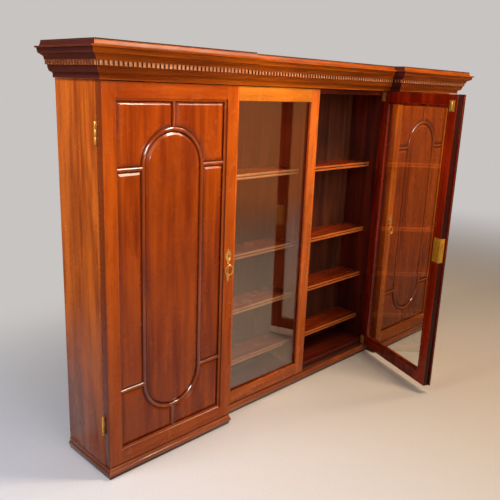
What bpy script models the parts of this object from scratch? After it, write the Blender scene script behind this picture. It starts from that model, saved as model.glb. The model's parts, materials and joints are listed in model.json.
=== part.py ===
"""Breakfront glazed bookcase cabinet in polished mahogany.

Metres, +Z up. The front faces -Y, the origin is on the floor in the middle of the
width and of the depth. Two panelled wing cupboards stand 44 mm in front of two glazed
doors. Every door swings on its own hinges, the right glazed door stands open.
"""

import math

import bmesh
import bpy
from mathutils import Matrix, Vector

# Overall sizes, measured over the carcass without its mouldings.
CASE_WIDTH = 1.830
CASE_HEIGHT = 1.220
CASE_DEPTH = 0.228
WING_WIDTH = 0.470
SETBACK = 0.044
PLINTH_HEIGHT = 0.033
CORNICE_HEIGHT = 0.094

# Boards and the gaps between pieces.
JOINT_GAP = 0.0003
BOARD = 0.018
PARTITION = 0.018
BACK_BOARD = 0.006
WELD = 0.000001
ARRIS = 0.0008
OVERRUN = 0.010
GROOVE_PITCH = 0.1016
GROOVE_DEPTH = 0.0015

# Plinth and base frame.
PLINTH_OUT = 0.006
PLINTH_IN = 0.014
BEARER = 0.045

# Cornice, with its dentil band.
LIP_OUT = 0.055
CORNICE_SEAT = 0.045
CORNICE_BACKING = 0.012
SOFFIT = 0.012
TOP_BOARD = 0.0125
TOP_REBATE = 0.010
DENTIL_PITCH = 0.0139
DENTIL_OUT = 0.0055
DENTIL_BACKING = 0.0022

# Shelves: tops as shares of the height between the bottom and the top board.
SHELF_THICKNESS = 0.020
SHELF_DEPTH = 0.108
REED_QUIRK = 0.0012
CENTRE_SHELF_SHARES = (0.098, 0.284, 0.477, 0.742)
WING_SHELF_SHARES = (0.284, 0.640)

# Clearances round the doors.
DOOR_REST = 0.001
GLAZED_REST = 0.002
DOOR_ABOVE = 0.0030
DOOR_BELOW = 0.0025
MEETING_GAP = 0.0020
EDGE_INSET = 0.0005

# Panelled wing doors.
WING_DOOR_THICKNESS = 0.026
WING_FRAME = 0.047
STICKING = 0.007
PANEL_BOARD = 0.011
PANEL_REBATE = 0.007
PANEL_SHEET_DROP = 0.0125
BEAD_WIDTH = 0.012
BEAD_HEIGHT = 0.0062
BEAD_QUIRK = 0.0022
ARCH_RADIUS = 0.104
ARCH_TOP_DROP = 0.226
ARCH_FOOT_RISE = 0.224
BAR_SHARE = 0.94
FIELD_BEVEL = 0.012
FIELD_RISE = 0.0045
FIELD_LEDGE = 0.0008
SEAT_LEDGE = 0.0010

# Glazed doors.
GLAZED_THICKNESS = 0.024
GLAZED_FRAME = 0.045
GLASS = 0.003
GLASS_SET = 0.010
GLASS_REBATE = 0.008
GLAZED_SIDE_GAP = 0.0030
BEAD_FACE = 0.010
OPEN_ANGLE = 68.0
ASTRAGAL_WIDTH = 0.014
ASTRAGAL_HEIGHT = 0.009
ASTRAGAL_LAP = 0.006

# Butt hinges of the wing doors.
HINGE_LENGTH = 0.058
HINGE_FROM_END = 0.100
KNUCKLE_RADIUS = 0.0035
PIN_RADIUS = 0.0016
LEAF_WIDTH = 0.015
LEAF_THICKNESS = 0.0015
FIT_GAP = 0.0004

# Pivot hinges of the glazed doors.
PIVOT_INSET = 0.007
PIVOT_RADIUS = 0.0025
PIVOT_ENTRY = 0.006
PIVOT_PLATE_WIDTH = 0.026
PIVOT_PLATE_HEIGHT = 0.038
PLATE_THICKNESS = 0.0015

# Escutcheon handles with their ring pulls.
HANDLE_HEIGHT = 0.107
HANDLE_WIDTH = 0.026
HANDLE_THICKNESS = 0.0018
HANDLE_TOP = 0.625
GLAZED_HANDLE_IN = 0.0275
EYE_BELOW_TOP = 0.053
EYE_RADIUS = 0.0052
EYE_WIDTH = 0.0042
EYE_OUT = 0.0056
EYE_BORE = 0.0028
RING_RADIUS = 0.0160
RING_WIRE = 0.0021
KEYHOLE_RADIUS = 0.0024
KEYHOLE_SLOT = 0.0024
KEYHOLE_DROP = 0.009
KEYHOLE_BELOW_TOP = 0.020
KEYHOLE_DEPTH = 0.008
HANDLE_SHARES = (
    (0.00, 0.00), (0.28, 0.06), (0.46, 0.14), (0.22, 0.27), (0.22, 0.38), (0.42, 0.50),
    (0.34, 0.61), (0.86, 0.72), (1.00, 0.81), (0.66, 0.91), (0.18, 0.965), (0.00, 1.00),
)

# Lock and catch of the right glazed door.
LOCK_MIDDLE = 0.572
LOCK_HEIGHT = 0.090
LOCK_WIDTH = 0.035
BOLT_HEIGHT = 0.018
BOLT_THICKNESS = 0.007
BOLT_LENGTH = 0.022
BOLT_TRAVEL = 0.007
CATCH_WIDTH = 0.026
CATCH_HEIGHT = 0.038
CATCH_BARREL = 0.0035
CATCH_FROM_TOP = 0.020

# Levels and faces that the sizes above fix.
HALF = CASE_WIDTH / 2
WING_IN = HALF - WING_WIDTH
FRONT = -CASE_DEPTH / 2
BACK = CASE_DEPTH / 2
CENTRE_FRONT = FRONT + SETBACK
CORNICE_Z = CASE_HEIGHT - CORNICE_HEIGHT
WING_CASE_Y = FRONT + WING_DOOR_THICKNESS + DOOR_REST
CENTRE_CASE_Y = CENTRE_FRONT + GLAZED_THICKNESS + GLAZED_REST
INNER_BACK = BACK - BACK_BOARD
FLOOR_Z = PLINTH_HEIGHT + JOINT_GAP + BOARD
CEILING_Z = CORNICE_Z - BOARD
DOOR_BOTTOM = PLINTH_HEIGHT + DOOR_ABOVE
DOOR_TOP = CORNICE_Z - DOOR_BELOW
DOOR_HEIGHT = DOOR_TOP - DOOR_BOTTOM
WING_DOOR_WIDTH = WING_WIDTH - 2 * EDGE_INSET
GLAZED_WIDTH = WING_IN - GLAZED_SIDE_GAP - MEETING_GAP / 2
HINGE_AXIS_X = HALF + KNUCKLE_RADIUS + JOINT_GAP
HINGE_AXIS_Y = FRONT + WING_DOOR_THICKNESS + DOOR_REST / 2
PIVOT_AXIS_X = WING_IN - GLAZED_SIDE_GAP - PIVOT_INSET
PIVOT_AXIS_Y = CENTRE_FRONT + PIVOT_INSET

# The cornice from its bottom to its top: out as a share of the lip, up as a share of the height.
# The dentils fill the band between their low and high share, in front of their face share.
DENTIL_FACE_SHARE = 0.38
DENTIL_LOW_SHARE = 0.350
DENTIL_HIGH_SHARE = 0.478
CORNICE_SHARES = (
    (0.11, 0.000), (0.11, 0.125), (0.15, 0.134), (0.15, 0.150), (0.24, 0.165), (0.31, 0.208),
    (0.345, 0.260), (0.345, 0.298), (DENTIL_FACE_SHARE, 0.307),
    (DENTIL_FACE_SHARE, DENTIL_HIGH_SHARE), (0.53, DENTIL_HIGH_SHARE), (0.53, 0.495),
    (0.555, 0.530), (0.62, 0.580), (0.70, 0.607), (0.70, 0.625), (0.80, 0.640), (0.84, 0.655),
    (0.89, 0.780), (1.00, 0.790), (1.00, 0.830), (0.71, 0.842), (0.72, 0.880), (0.715, 0.925),
    (0.68, 0.965), (0.665, 0.970), (0.665, 1.000),
)

# The plinth: out as a share of its projection, up as a share of its height.
PLINTH_SHARES = (
    (0.30, 0.00), (0.30, 0.22), (0.96, 0.25), (1.00, 0.36), (0.98, 0.50), (0.88, 0.65),
    (0.68, 0.78), (0.42, 0.87), (0.30, 0.89), (0.30, 0.92), (0.05, 1.00),
)

MAHOGANY = (0.42, 0.12, 0.03, 1.0)
DARK_WOOD = (0.16, 0.045, 0.018, 1.0)
BRASS = (0.80, 0.58, 0.22, 1.0)
CLEAR = (0.85, 0.88, 0.88, 1.0)

# Turns a flat shape, drawn to the right and up, to stand upright and face the front.
STAND = Matrix.Rotation(math.pi / 2, 4, "X")


def clear_scene():
    """Empties the scene and makes one collection for the cabinet and one for its cutters."""
    for item in list(bpy.data.objects):
        bpy.data.objects.remove(item)
    made = []
    for name in ("glazed_bookcase", "cutters"):
        group = bpy.data.collections.new(name)
        bpy.context.scene.collection.children.link(group)
        made.append(group)
    return made


PARTS, CUTTERS = clear_scene()


def link(name, mesh):
    """Puts a mesh into the cabinet's collection under its name."""
    item = bpy.data.objects.new(name, mesh)
    PARTS.objects.link(item)
    return item


def paint(item, colour, roughness, metallic=0.0):
    """Gives a piece its own Principled material."""
    material = bpy.data.materials.new(item.name)
    material.use_nodes = True
    shader = material.node_tree.nodes["Principled BSDF"]
    shader.inputs["Base Color"].default_value = colour
    shader.inputs["Roughness"].default_value = roughness
    shader.inputs["Metallic"].default_value = metallic
    material.diffuse_color = colour
    item.data.materials.clear()
    item.data.materials.append(material)
    return item


def wood(item, colour=MAHOGANY):
    """Polished mahogany, shaded smooth on its rounded mouldings."""
    item.data.shade_smooth()
    item.data.set_sharp_from_angle(angle=math.radians(35))
    return paint(item, colour, roughness=0.3)


def brass(item):
    """Lacquered brass, shaded smooth on its round sides."""
    item.data.shade_smooth()
    item.data.set_sharp_from_angle(angle=math.radians(32))
    return paint(item, BRASS, roughness=0.3, metallic=1.0)


def box(name, low, high):
    """An upright box between two corners, from a cube primitive."""
    mesh = bpy.data.meshes.new(name)
    form = bmesh.new()
    size = [b - a for a, b in zip(low, high)]
    middle = [(a + b) / 2 for a, b in zip(low, high)]
    bmesh.ops.create_cube(form, size=1.0, matrix=Matrix.LocRotScale(middle, None, size))
    form.to_mesh(mesh)
    form.free()
    return link(name, mesh)


def board(name, low, high, colour=MAHOGANY):
    """A sawn board with its arrises taken off."""
    item = box(name, low, high)
    ease = item.modifiers.new("arris", "BEVEL")
    ease.width = ARRIS
    ease.segments = 1
    return wood(item, colour)


def cylinder(name, middle, radius, length, axis, sides=16):
    """A capped cylinder along an axis, from a cone primitive."""
    mesh = bpy.data.meshes.new(name)
    form = bmesh.new()
    turn = Vector((0, 0, 1)).rotation_difference(Vector(axis))
    place = Matrix.LocRotScale(middle, turn, None)
    bmesh.ops.create_cone(form, segments=sides, radius1=radius, radius2=radius, depth=length,
                          cap_ends=True, matrix=place)
    form.to_mesh(mesh)
    form.free()
    return link(name, mesh)


def smooth_outline(name, points, tips):
    """A closed flat curve that flows through its points and is pointed at the tips."""
    data = bpy.data.curves.new(name, "CURVE")
    data.dimensions = "2D"
    data.fill_mode = "BOTH"
    data.resolution_u = 3
    spline = data.splines.new("BEZIER")
    spline.bezier_points.add(len(points) - 1)
    for point, place in zip(spline.bezier_points, points):
        point.co = (place[0], place[1], 0)
        kind = "VECTOR" if place in tips else "AUTO"
        point.handle_left_type = kind
        point.handle_right_type = kind
    spline.use_cyclic_u = True
    return link(name, data)


def flat_curve(name, points, cyclic, fill):
    """A flat curve of straight pieces."""
    data = bpy.data.curves.new(name, "CURVE")
    data.dimensions = "2D"
    data.fill_mode = fill
    spline = data.splines.new("POLY")
    spline.points.add(len(points) - 1)
    for point, place in zip(spline.points, points):
        point.co = (place[0], place[1], 0, 1)
    spline.use_cyclic_u = cyclic
    return link(name, data)


def to_mesh(curve, place=None):
    """Turns a curve object into a closed mesh object, moved by a matrix."""
    name = curve.name
    view = bpy.context.evaluated_depsgraph_get()
    mesh = bpy.data.meshes.new_from_object(curve.evaluated_get(view))
    matrix = curve.matrix_world.copy()
    bpy.data.objects.remove(curve)
    form = bmesh.new()
    form.from_mesh(mesh)
    bmesh.ops.remove_doubles(form, verts=form.verts, dist=WELD)
    bmesh.ops.recalc_face_normals(form, faces=form.faces)
    form.to_mesh(mesh)
    form.free()
    item = link(name, mesh)
    item.data.transform(matrix if place is None else place @ matrix)
    return item


def slab(name, outline, low, high, place=None, tips=None):
    """A flat outline given its thickness between two levels, flowing between its tips if any."""
    if tips:
        curve = smooth_outline(name, outline, tips)
    else:
        curve = flat_curve(name, outline, cyclic=True, fill="BOTH")
    curve.data.extrude = (high - low) / 2
    curve.location.z = (low + high) / 2
    bpy.context.view_layer.update()
    return to_mesh(curve, place)


def moulding(name, path, profile, cyclic=False, place=None):
    """A moulding: a closed profile run along a flat path, mitred at its corners.

    The profile's first number runs to the right of an open path, and inwards on a closed
    one. Its second number runs up.
    """
    shape = flat_curve(name + "_profile", profile, cyclic=True, fill="NONE")
    curve = flat_curve(name, path, cyclic=cyclic, fill="NONE")
    curve.data.bevel_mode = "OBJECT"
    curve.data.bevel_object = shape
    curve.data.use_fill_caps = not cyclic
    bpy.context.view_layer.update()
    item = to_mesh(curve, place)
    bpy.data.objects.remove(shape)
    return item


def boolean(item, tool, operation):
    """Joins a tool to a piece, or cuts it out, and hides the tool among the cutters."""
    step = item.modifiers.new(tool.name, "BOOLEAN")
    step.operation = operation
    step.solver = "EXACT"
    step.object = tool
    tool.hide_render = True
    tool.display_type = "WIRE"
    if tool.name in PARTS.objects:
        PARTS.objects.unlink(tool)
        CUTTERS.objects.link(tool)
    return tool


def settle(item):
    """Applies a piece's modifiers, and drops the tools that they used."""
    view = bpy.context.evaluated_depsgraph_get()
    mesh = bpy.data.meshes.new_from_object(item.evaluated_get(view))
    tools = [step.object for step in item.modifiers if step.type == "BOOLEAN"]
    item.modifiers.clear()
    item.data = mesh
    for tool in tools:
        bpy.data.objects.remove(tool)
    return item


def joined(name, pieces):
    """One mesh object from pieces that don't touch each other."""
    form = bmesh.new()
    for piece in pieces:
        form.from_mesh(piece.data)
    mesh = bpy.data.meshes.new(name)
    form.to_mesh(mesh)
    form.free()
    for piece in pieces:
        bpy.data.objects.remove(piece)
    return link(name, mesh)


def axis_empty(name, place, parent=None):
    """An empty on a joint's axis."""
    item = bpy.data.objects.new(name, None)
    item.empty_display_size = BEARER
    PARTS.objects.link(item)
    item.parent = parent
    item.location = Vector(place) - (world_place(parent) if parent else Vector())
    return item


def world_place(empty):
    """Where an empty stands while no door has been turned yet."""
    place = Vector()
    while empty:
        place += empty.location
        empty = empty.parent
    return place


def hang(empty, pieces):
    """Parents pieces, drawn in place, to the empty on their joint's axis."""
    for piece in pieces:
        piece.data.transform(Matrix.Translation(-world_place(empty)))
        piece.parent = empty
        for step in piece.modifiers:
            if step.type == "BOOLEAN" and step.object.parent is None:
                step.object.data.transform(Matrix.Translation(-world_place(empty)))
                step.object.parent = empty


def breakfront(outer, step, wing_y, centre_y, back_y):
    """A plan outline whose wings stand in front of its centre."""
    half = [(step, centre_y), (step, wing_y), (outer, wing_y), (outer, back_y)]
    return half + [(-x, y) for x, y in reversed(half)]


def case_path():
    """The line that the plinth and the cornice follow, from the left back to the right back."""
    left = [(-HALF, BACK), (-HALF, FRONT), (-WING_IN, FRONT), (-WING_IN, CENTRE_FRONT)]
    return left + [(-x, y) for x, y in reversed(left)]


def arc(middle, radius, start, end, steps):
    """Points of an arc, both ends included, with its angles in degrees."""
    turn = [math.radians(start + (end - start) * i / steps) for i in range(steps + 1)]
    return [(middle[0] + radius * math.cos(a), middle[1] + radius * math.sin(a)) for a in turn]


def build_plinth():
    """The base moulding, with holes for the lower pivots, and the frame behind it."""
    outer = [(out * PLINTH_OUT, up * PLINTH_HEIGHT) for out, up in PLINTH_SHARES]
    profile = outer + [(-PLINTH_IN, PLINTH_HEIGHT), (-PLINTH_IN, 0)]
    plinth = moulding("plinth_moulding", case_path(), profile)
    bore_pivots(plinth, PLINTH_HEIGHT)
    wood(plinth)

    inset = PLINTH_IN + JOINT_GAP
    outline = breakfront(HALF - inset, WING_IN + inset, FRONT + inset, CENTRE_FRONT + inset, BACK)
    frame = slab("base_frame", outline, 0, PLINTH_HEIGHT)
    edges = [0, WING_IN, HALF - inset - BEARER / 2]
    bays = []
    for side in (-1, 1):
        for inner, outer_edge in zip(edges, edges[1:]):
            front = CENTRE_FRONT if outer_edge == WING_IN else FRONT
            low = (inner + BEARER / 2, front + inset + BEARER, -OVERRUN)
            high = (outer_edge - BEARER / 2, BACK - BEARER, PLINTH_HEIGHT + OVERRUN)
            xs = sorted((side * low[0], side * high[0]))
            bays.append(box("bay", (xs[0], *low[1:]), (xs[1], *high[1:])))
    boolean(frame, joined("base_bays", bays), "DIFFERENCE")
    wood(frame, DARK_WOOD)


def bore_pivots(moulding_piece, seat):
    """Drills the two blind holes that the pivot pins of the glazed doors turn in."""
    depth = PIVOT_ENTRY + JOINT_GAP
    holes = []
    for side in (-1, 1):
        middle = (side * PIVOT_AXIS_X, PIVOT_AXIS_Y, seat)
        holes.append(cylinder("hole", middle, PIVOT_RADIUS + FIT_GAP, 2 * depth, (0, 0, 1)))
    boolean(moulding_piece, joined(moulding_piece.name + "_bores", holes), "DIFFERENCE")


def build_carcass():
    """Sides, partitions, bottom, top and back."""
    low = PLINTH_HEIGHT + JOINT_GAP
    for name, side in (("side_panel_left", -1), ("side_panel_right", 1)):
        xs = sorted((side * HALF, side * (HALF - BOARD)))
        panel = box(name, (xs[0], WING_CASE_Y, low), (xs[1], BACK, CORNICE_Z))
        cut_side_mortises(panel, side)
        wood(panel)
    for name, side in (("partition_left", -1), ("partition_right", 1)):
        xs = sorted((side * WING_IN, side * (WING_IN + PARTITION)))
        floor, ceiling = FLOOR_Z + JOINT_GAP, CEILING_Z - JOINT_GAP
        board(name, (xs[0], WING_CASE_Y, floor), (xs[1], INNER_BACK - JOINT_GAP, ceiling))
    middle = PARTITION / 2
    board("partition_centre", (-middle, CENTRE_CASE_Y, FLOOR_Z + JOINT_GAP),
          (middle, INNER_BACK - JOINT_GAP, CEILING_Z - JOINT_GAP))
    inside = HALF - BOARD - JOINT_GAP
    plan = breakfront(inside, WING_IN, WING_CASE_Y, CENTRE_CASE_Y, INNER_BACK - JOINT_GAP)
    wood(slab("bottom_board", plan, low, FLOOR_Z))
    wood(slab("top_board", plan, CEILING_Z, CORNICE_Z))
    build_back(inside, low)


def build_back(inside, low):
    """The back, of narrow boards with a V groove between each two."""
    back = box("back_panel", (-inside, INNER_BACK, low), (inside, BACK, CORNICE_Z))
    count = round(2 * inside / GROOVE_PITCH)
    pitch = 2 * inside / count
    grooves = []
    for i in range(1, count):
        x = -inside + i * pitch
        tip = [(x - GROOVE_DEPTH, INNER_BACK), (x, INNER_BACK + GROOVE_DEPTH),
               (x + GROOVE_DEPTH, INNER_BACK), (x, INNER_BACK - GROOVE_DEPTH)]
        grooves.append(slab("groove", tip, low - OVERRUN, CORNICE_Z + OVERRUN))
    boolean(back, joined("back_grooves", grooves), "DIFFERENCE")
    wood(back, DARK_WOOD)


def build_cornice():
    """The cornice moulding, its dentils and the board that closes its top."""
    outer = [(out * LIP_OUT, CORNICE_Z + JOINT_GAP + up * (CORNICE_HEIGHT - JOINT_GAP))
             for out, up in CORNICE_SHARES]
    seat = CASE_HEIGHT - TOP_BOARD
    low = CORNICE_Z + JOINT_GAP
    inner = [(TOP_REBATE, CASE_HEIGHT), (TOP_REBATE, seat), (-CORNICE_BACKING, seat),
             (-CORNICE_BACKING, low + SOFFIT), (-CORNICE_SEAT, low + SOFFIT), (-CORNICE_SEAT, low)]
    cornice = moulding("cornice_moulding", case_path(), outer + inner)
    bore_pivots(cornice, low)
    wood(cornice)
    narrow = HALF - CORNICE_SEAT - JOINT_GAP
    wide = HALF - CORNICE_BACKING - JOINT_GAP
    step = low + SOFFIT + JOINT_GAP
    half = [(narrow, low), (narrow, step), (wide, step), (wide, seat)]
    place = Matrix.Translation((0, BACK, 0)) @ STAND
    rail = slab("cornice_back_rail", half + [(-x, z) for x, z in half[::-1]], 0, BACK_BOARD, place)
    wood(rail, DARK_WOOD)
    rim = TOP_REBATE - JOINT_GAP
    plan = breakfront(HALF + rim, WING_IN - rim, FRONT - rim, CENTRE_FRONT - rim, BACK)
    wood(slab("cornice_top_board", plan, seat + JOINT_GAP, CASE_HEIGHT), DARK_WOOD)
    build_dentils()


def build_dentils():
    """One strip round the cornice with a tooth at every pitch."""
    height = CORNICE_HEIGHT - JOINT_GAP
    low = CORNICE_Z + JOINT_GAP + DENTIL_LOW_SHARE * height
    high = CORNICE_Z + DENTIL_HIGH_SHARE * height
    out = DENTIL_FACE_SHARE * LIP_OUT + JOINT_GAP
    inner = offset_path(out)
    outer = offset_path(out + DENTIL_BACKING)
    outline = []
    for i, (start, end) in enumerate(zip(outer, outer[1:])):
        begin = corner_room(outer, i)
        finish = corner_room(outer, i + 1)
        outline.append(start)
        outline += teeth(start, end, begin, finish)
    outline.append(outer[-1])
    wood(slab("dentil_moulding", outline + inner[::-1], low, high))


def offset_path(out):
    """The line of the case faces, moved outwards."""
    left = [(-HALF - out, BACK), (-HALF - out, FRONT - out), (-WING_IN + out, FRONT - out),
            (-WING_IN + out, CENTRE_FRONT - out)]
    return left + [(-x, y) for x, y in reversed(left)]


def corner_room(path, index):
    """How far the first tooth stays from a corner: further where the corner turns inwards."""
    if 0 < index < len(path) - 1:
        before = Vector(path[index]) - Vector(path[index - 1])
        after = Vector(path[index + 1]) - Vector(path[index])
        if before.cross(after) < 0:
            return DENTIL_OUT + DENTIL_PITCH / 4
    return DENTIL_PITCH / 4


def teeth(start, end, begin, finish):
    """The crenellated edge between two corners."""
    run = Vector(end) - Vector(start)
    along = run.normalized()
    out = Vector((along.y, -along.x)) * DENTIL_OUT
    tooth = DENTIL_PITCH / 2
    count = max(1, round((run.length - begin - finish - tooth) / DENTIL_PITCH)) + 1
    pitch = (run.length - begin - finish - tooth) / (count - 1)
    edge = []
    for i in range(count):
        near = Vector(start) + along * (begin + i * pitch)
        far = near + along * tooth
        edge += [near, near + out, far + out, far]
    return [tuple(point) for point in edge]


def shelf_profile():
    """A shelf from the side: a double reeded front edge and a square back edge."""
    half = (SHELF_THICKNESS - REED_QUIRK) / 4
    low = arc((half, half), half, -90, -270, 6)
    high = arc((half, SHELF_THICKNESS - half), half, -90, -270, 6)
    return [(SHELF_DEPTH, 0)] + low + high + [(SHELF_DEPTH, SHELF_THICKNESS)]


def build_shelves():
    """Shelves between the partitions of each bay."""
    half = PARTITION / 2
    inner = WING_IN + PARTITION
    bays = {
        "wing_left": (-(HALF - BOARD), -inner, WING_SHELF_SHARES),
        "left": (-WING_IN, -half, CENTRE_SHELF_SHARES),
        "right": (half, WING_IN, CENTRE_SHELF_SHARES),
        "wing_right": (inner, HALF - BOARD, WING_SHELF_SHARES),
    }
    turn = Matrix(((0, 0, 1, 0), (1, 0, 0, 0), (0, 1, 0, 0), (0, 0, 0, 1)))
    front = INNER_BACK - JOINT_GAP - SHELF_DEPTH
    for bay, (start, end, levels) in bays.items():
        for number, level in enumerate(levels, start=1):
            top = FLOOR_Z + level * (CEILING_Z - FLOOR_Z)
            place = Matrix.Translation((0, front, top - SHELF_THICKNESS)) @ turn
            shelf = slab(f"shelf_{bay}_{number}", shelf_profile(), start + JOINT_GAP,
                         end - JOINT_GAP, place)
            wood(shelf)


def hinge_levels():
    """The bottom and top of each butt hinge of a wing door."""
    low = DOOR_BOTTOM + HINGE_FROM_END
    high = DOOR_TOP - HINGE_FROM_END
    return [("lower", low, low + HINGE_LENGTH), ("upper", high - HINGE_LENGTH, high)]


def leaf_box(name, side, grown, door):
    """Boxes of the hinge leaves of one door, or of the mortises that they lie in."""
    near, far = (JOINT_GAP / 2, JOINT_GAP / 2 + LEAF_THICKNESS)
    ys = (HINGE_AXIS_Y - far - grown, HINGE_AXIS_Y - near + grown * 4)
    if not door:
        ys = (HINGE_AXIS_Y + near - grown * 4, HINGE_AXIS_Y + far + grown)
    xs = sorted((side * (HALF - LEAF_WIDTH - grown), side * (HALF + grown * 4)))
    made = []
    for _, low, high in hinge_levels():
        made.append(box(name, (xs[0], ys[0], low - grown), (xs[1], ys[1], high + grown)))
    return made


def cut_side_mortises(panel, side):
    """Lets the carcass leaves into the front edge of a side panel."""
    cuts = leaf_box("cut", side, JOINT_GAP, door=False)
    boolean(panel, joined(panel.name + "_mortises", cuts), "DIFFERENCE")


def build_butt_hinges(side, word, empty):
    """Two butt hinges of a wing door: each has a carcass leaf with its pin and a door leaf."""
    for (level, low, high), fixed, moving in zip(hinge_levels(), leaf_box("leaf", side, 0, False),
                                                 leaf_box("leaf", side, 0, True)):
        third = (high - low) / 3
        fixed_knuckles = [(low, low + third - JOINT_GAP), (high - third + JOINT_GAP, high)]
        moving_knuckles = [(low + third, high - third)]
        fixed.name = f"hinge_{level}_{word}_case_leaf"
        moving.name = f"hinge_{level}_{word}_door_leaf"
        add_knuckles(fixed, side, fixed_knuckles, door=False)
        add_knuckles(moving, side, moving_knuckles, door=True)
        axis = (side * HINGE_AXIS_X, HINGE_AXIS_Y, (low + high) / 2)
        pin = cylinder("pin", axis, PIN_RADIUS, high - low - JOINT_GAP, (0, 0, 1), 12)
        boolean(fixed, pin, "UNION")
        bore = cylinder("bore", axis, PIN_RADIUS + FIT_GAP, third + OVERRUN, (0, 0, 1), 12)
        boolean(moving, bore, "DIFFERENCE")
        brass(settle(fixed))
        brass(settle(moving))
        hang(empty, [moving])


def add_knuckles(leaf, side, knuckles, door):
    """Rolls the knuckles of a leaf round the pin."""
    face = -1 if door else 1
    near = HINGE_AXIS_Y + face * JOINT_GAP / 2
    ys = sorted((near, near + face * LEAF_THICKNESS))
    xs = sorted((side * (HALF - LEAF_WIDTH / 2), side * HINGE_AXIS_X))
    for low, high in knuckles:
        boolean(leaf, box("tongue", (xs[0], ys[0], low), (xs[1], ys[1], high)), "UNION")
        middle = (side * HINGE_AXIS_X, HINGE_AXIS_Y, (low + high) / 2)
        barrel = cylinder("barrel", middle, KNUCKLE_RADIUS, high - low, (0, 0, 1))
        boolean(leaf, barrel, "UNION")


def wing_frame_profile():
    """Cross section of a wing door's frame, from its outer edge inwards, the front up."""
    thick = WING_DOOR_THICKNESS
    step = thick - SEAT_LEDGE
    inside = WING_FRAME
    curve = arc((inside, step), STICKING, 180, 270, 5)
    return [(0, 0), (0, thick - ARRIS), (ARRIS, thick), (inside - STICKING, thick)] + curve + [
        (inside, thick - PANEL_SHEET_DROP + JOINT_GAP),
        (inside - PANEL_REBATE, thick - PANEL_SHEET_DROP + JOINT_GAP),
        (inside - PANEL_REBATE, 0),
    ]


def rectangle(left, bottom, right, top):
    """The corners of an upright rectangle."""
    return [(left, bottom), (right, bottom), (right, top), (left, top)]


def arch_middles():
    """The centres of the ring's upper and lower half circles, in the door's own frame."""
    x = WING_DOOR_WIDTH / 2
    return (x, DOOR_HEIGHT - ARCH_TOP_DROP), (x, ARCH_FOOT_RISE)


def stadium(radius, steps=14):
    """The ring of the door: two half circles joined by straight sides."""
    top, foot = arch_middles()
    return arc(top, radius, 0, 180, steps) + arc(foot, radius, 180, 360, steps)


def bead_profile(share=1.0):
    """A half round bead, on the line of its middle."""
    half = BEAD_WIDTH / 2 * share
    return [(half * math.cos(a), BEAD_HEIGHT * share * math.sin(a))
            for a in (math.pi * i / 6 for i in range(7))]


def panel_opening():
    """The opening of a wing door's frame, in the door's own frame."""
    return WING_FRAME, WING_FRAME, WING_DOOR_WIDTH - WING_FRAME, DOOR_HEIGHT - WING_FRAME


def bead_bars():
    """The straight bars that tie the ring to the frame: ends as points."""
    left, bottom, right, top = (edge + gap for edge, gap in zip(
        panel_opening(), (JOINT_GAP, JOINT_GAP, -JOINT_GAP, -JOINT_GAP)))
    head, foot = arch_middles()
    x = head[0]
    reach = ARCH_RADIUS - BEAD_WIDTH / 8
    bars = []
    for middle, end in ((head, top), (foot, bottom)):
        z = middle[1]
        bars += [((left, z), (x - reach, z)), ((x + reach, z), (right, z))]
        sign = 1 if end > middle[1] else -1
        bars.append(((x, middle[1] + sign * reach), (x, end)))
    return bars


def build_beads(name, place):
    """The network of beads: the ring, four level bars and two upright ones."""
    ring = moulding(name, stadium(ARCH_RADIUS), bead_profile(), cyclic=True, place=place)
    lift = place @ Matrix.Translation((0, 0, JOINT_GAP / 2))
    for number, (start, end) in enumerate(bead_bars()):
        profile = bead_profile(BAR_SHARE)
        bar = moulding(f"{name}_bar_{number}", [start, end], profile, place=lift)
        boolean(ring, bar, "UNION")
    return wood(settle(ring))


def field_outlines():
    """The seven fields of a panel: the ring's inside, two sides and four corners."""
    room = BEAD_WIDTH / 2 + BEAD_QUIRK
    left, bottom, right, top = panel_opening()
    left, bottom, right, top = (left + BEAD_QUIRK, bottom + BEAD_QUIRK, right - BEAD_QUIRK,
                                top - BEAD_QUIRK)
    head, foot = arch_middles()
    x, radius = head[0], ARCH_RADIUS + room
    fields = [stadium(ARCH_RADIUS - room)]
    low, high = foot[1] + room, head[1] - room
    fields.append(rectangle(left, low, x - radius, high))
    fields.append(rectangle(x + radius, low, right, high))
    for middle, end, sign in ((head, top, 1), (foot, bottom, -1)):
        start = math.degrees(math.asin(room / radius))
        finish = math.degrees(math.acos(room / radius))
        curve = arc((0, 0), radius, start, finish, 8)
        for side, edge in ((1, right), (-1, left)):
            corner = [(x + side * u, middle[1] + sign * v) for u, v in curve]
            corner += [(x + side * room, end), (edge, end), (edge, middle[1] + sign * room)]
            fields.append(corner)
    return fields


def raised_field(name, outline, base, place):
    """One raised and fielded panel: a bevelled slope up to a small ledge and a flat top."""
    item = slab(name, outline, base - PANEL_BOARD / 2, base + JOINT_GAP)
    form = bmesh.new()
    form.from_mesh(item.data)
    bmesh.ops.dissolve_limit(form, angle_limit=math.radians(1), verts=form.verts,
                             edges=form.edges)
    top = max(form.faces, key=lambda face: face.calc_center_median().z)
    rise = FIELD_RISE - FIELD_LEDGE
    for width, depth in ((FIELD_BEVEL, rise), (FIELD_LEDGE, FIELD_LEDGE)):
        bmesh.ops.inset_region(form, faces=[top], thickness=width, depth=depth,
                               use_even_offset=True)
    form.to_mesh(item.data)
    form.free()
    item.data.transform(place)
    return item


def build_panel(name, place):
    """The panel board of a wing door, with its seven raised fields."""
    face = WING_DOOR_THICKNESS - PANEL_SHEET_DROP
    left, bottom, right, top = panel_opening()
    lap = PANEL_REBATE - JOINT_GAP
    sheet = rectangle(left - lap, bottom - lap, right + lap, top + lap)
    panel = slab(name, sheet, face - PANEL_BOARD, face, place)
    fields = [raised_field("field", outline, face, place) for outline in field_outlines()]
    boolean(panel, joined(name + "_fields", fields), "UNION")
    return wood(settle(panel))


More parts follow.
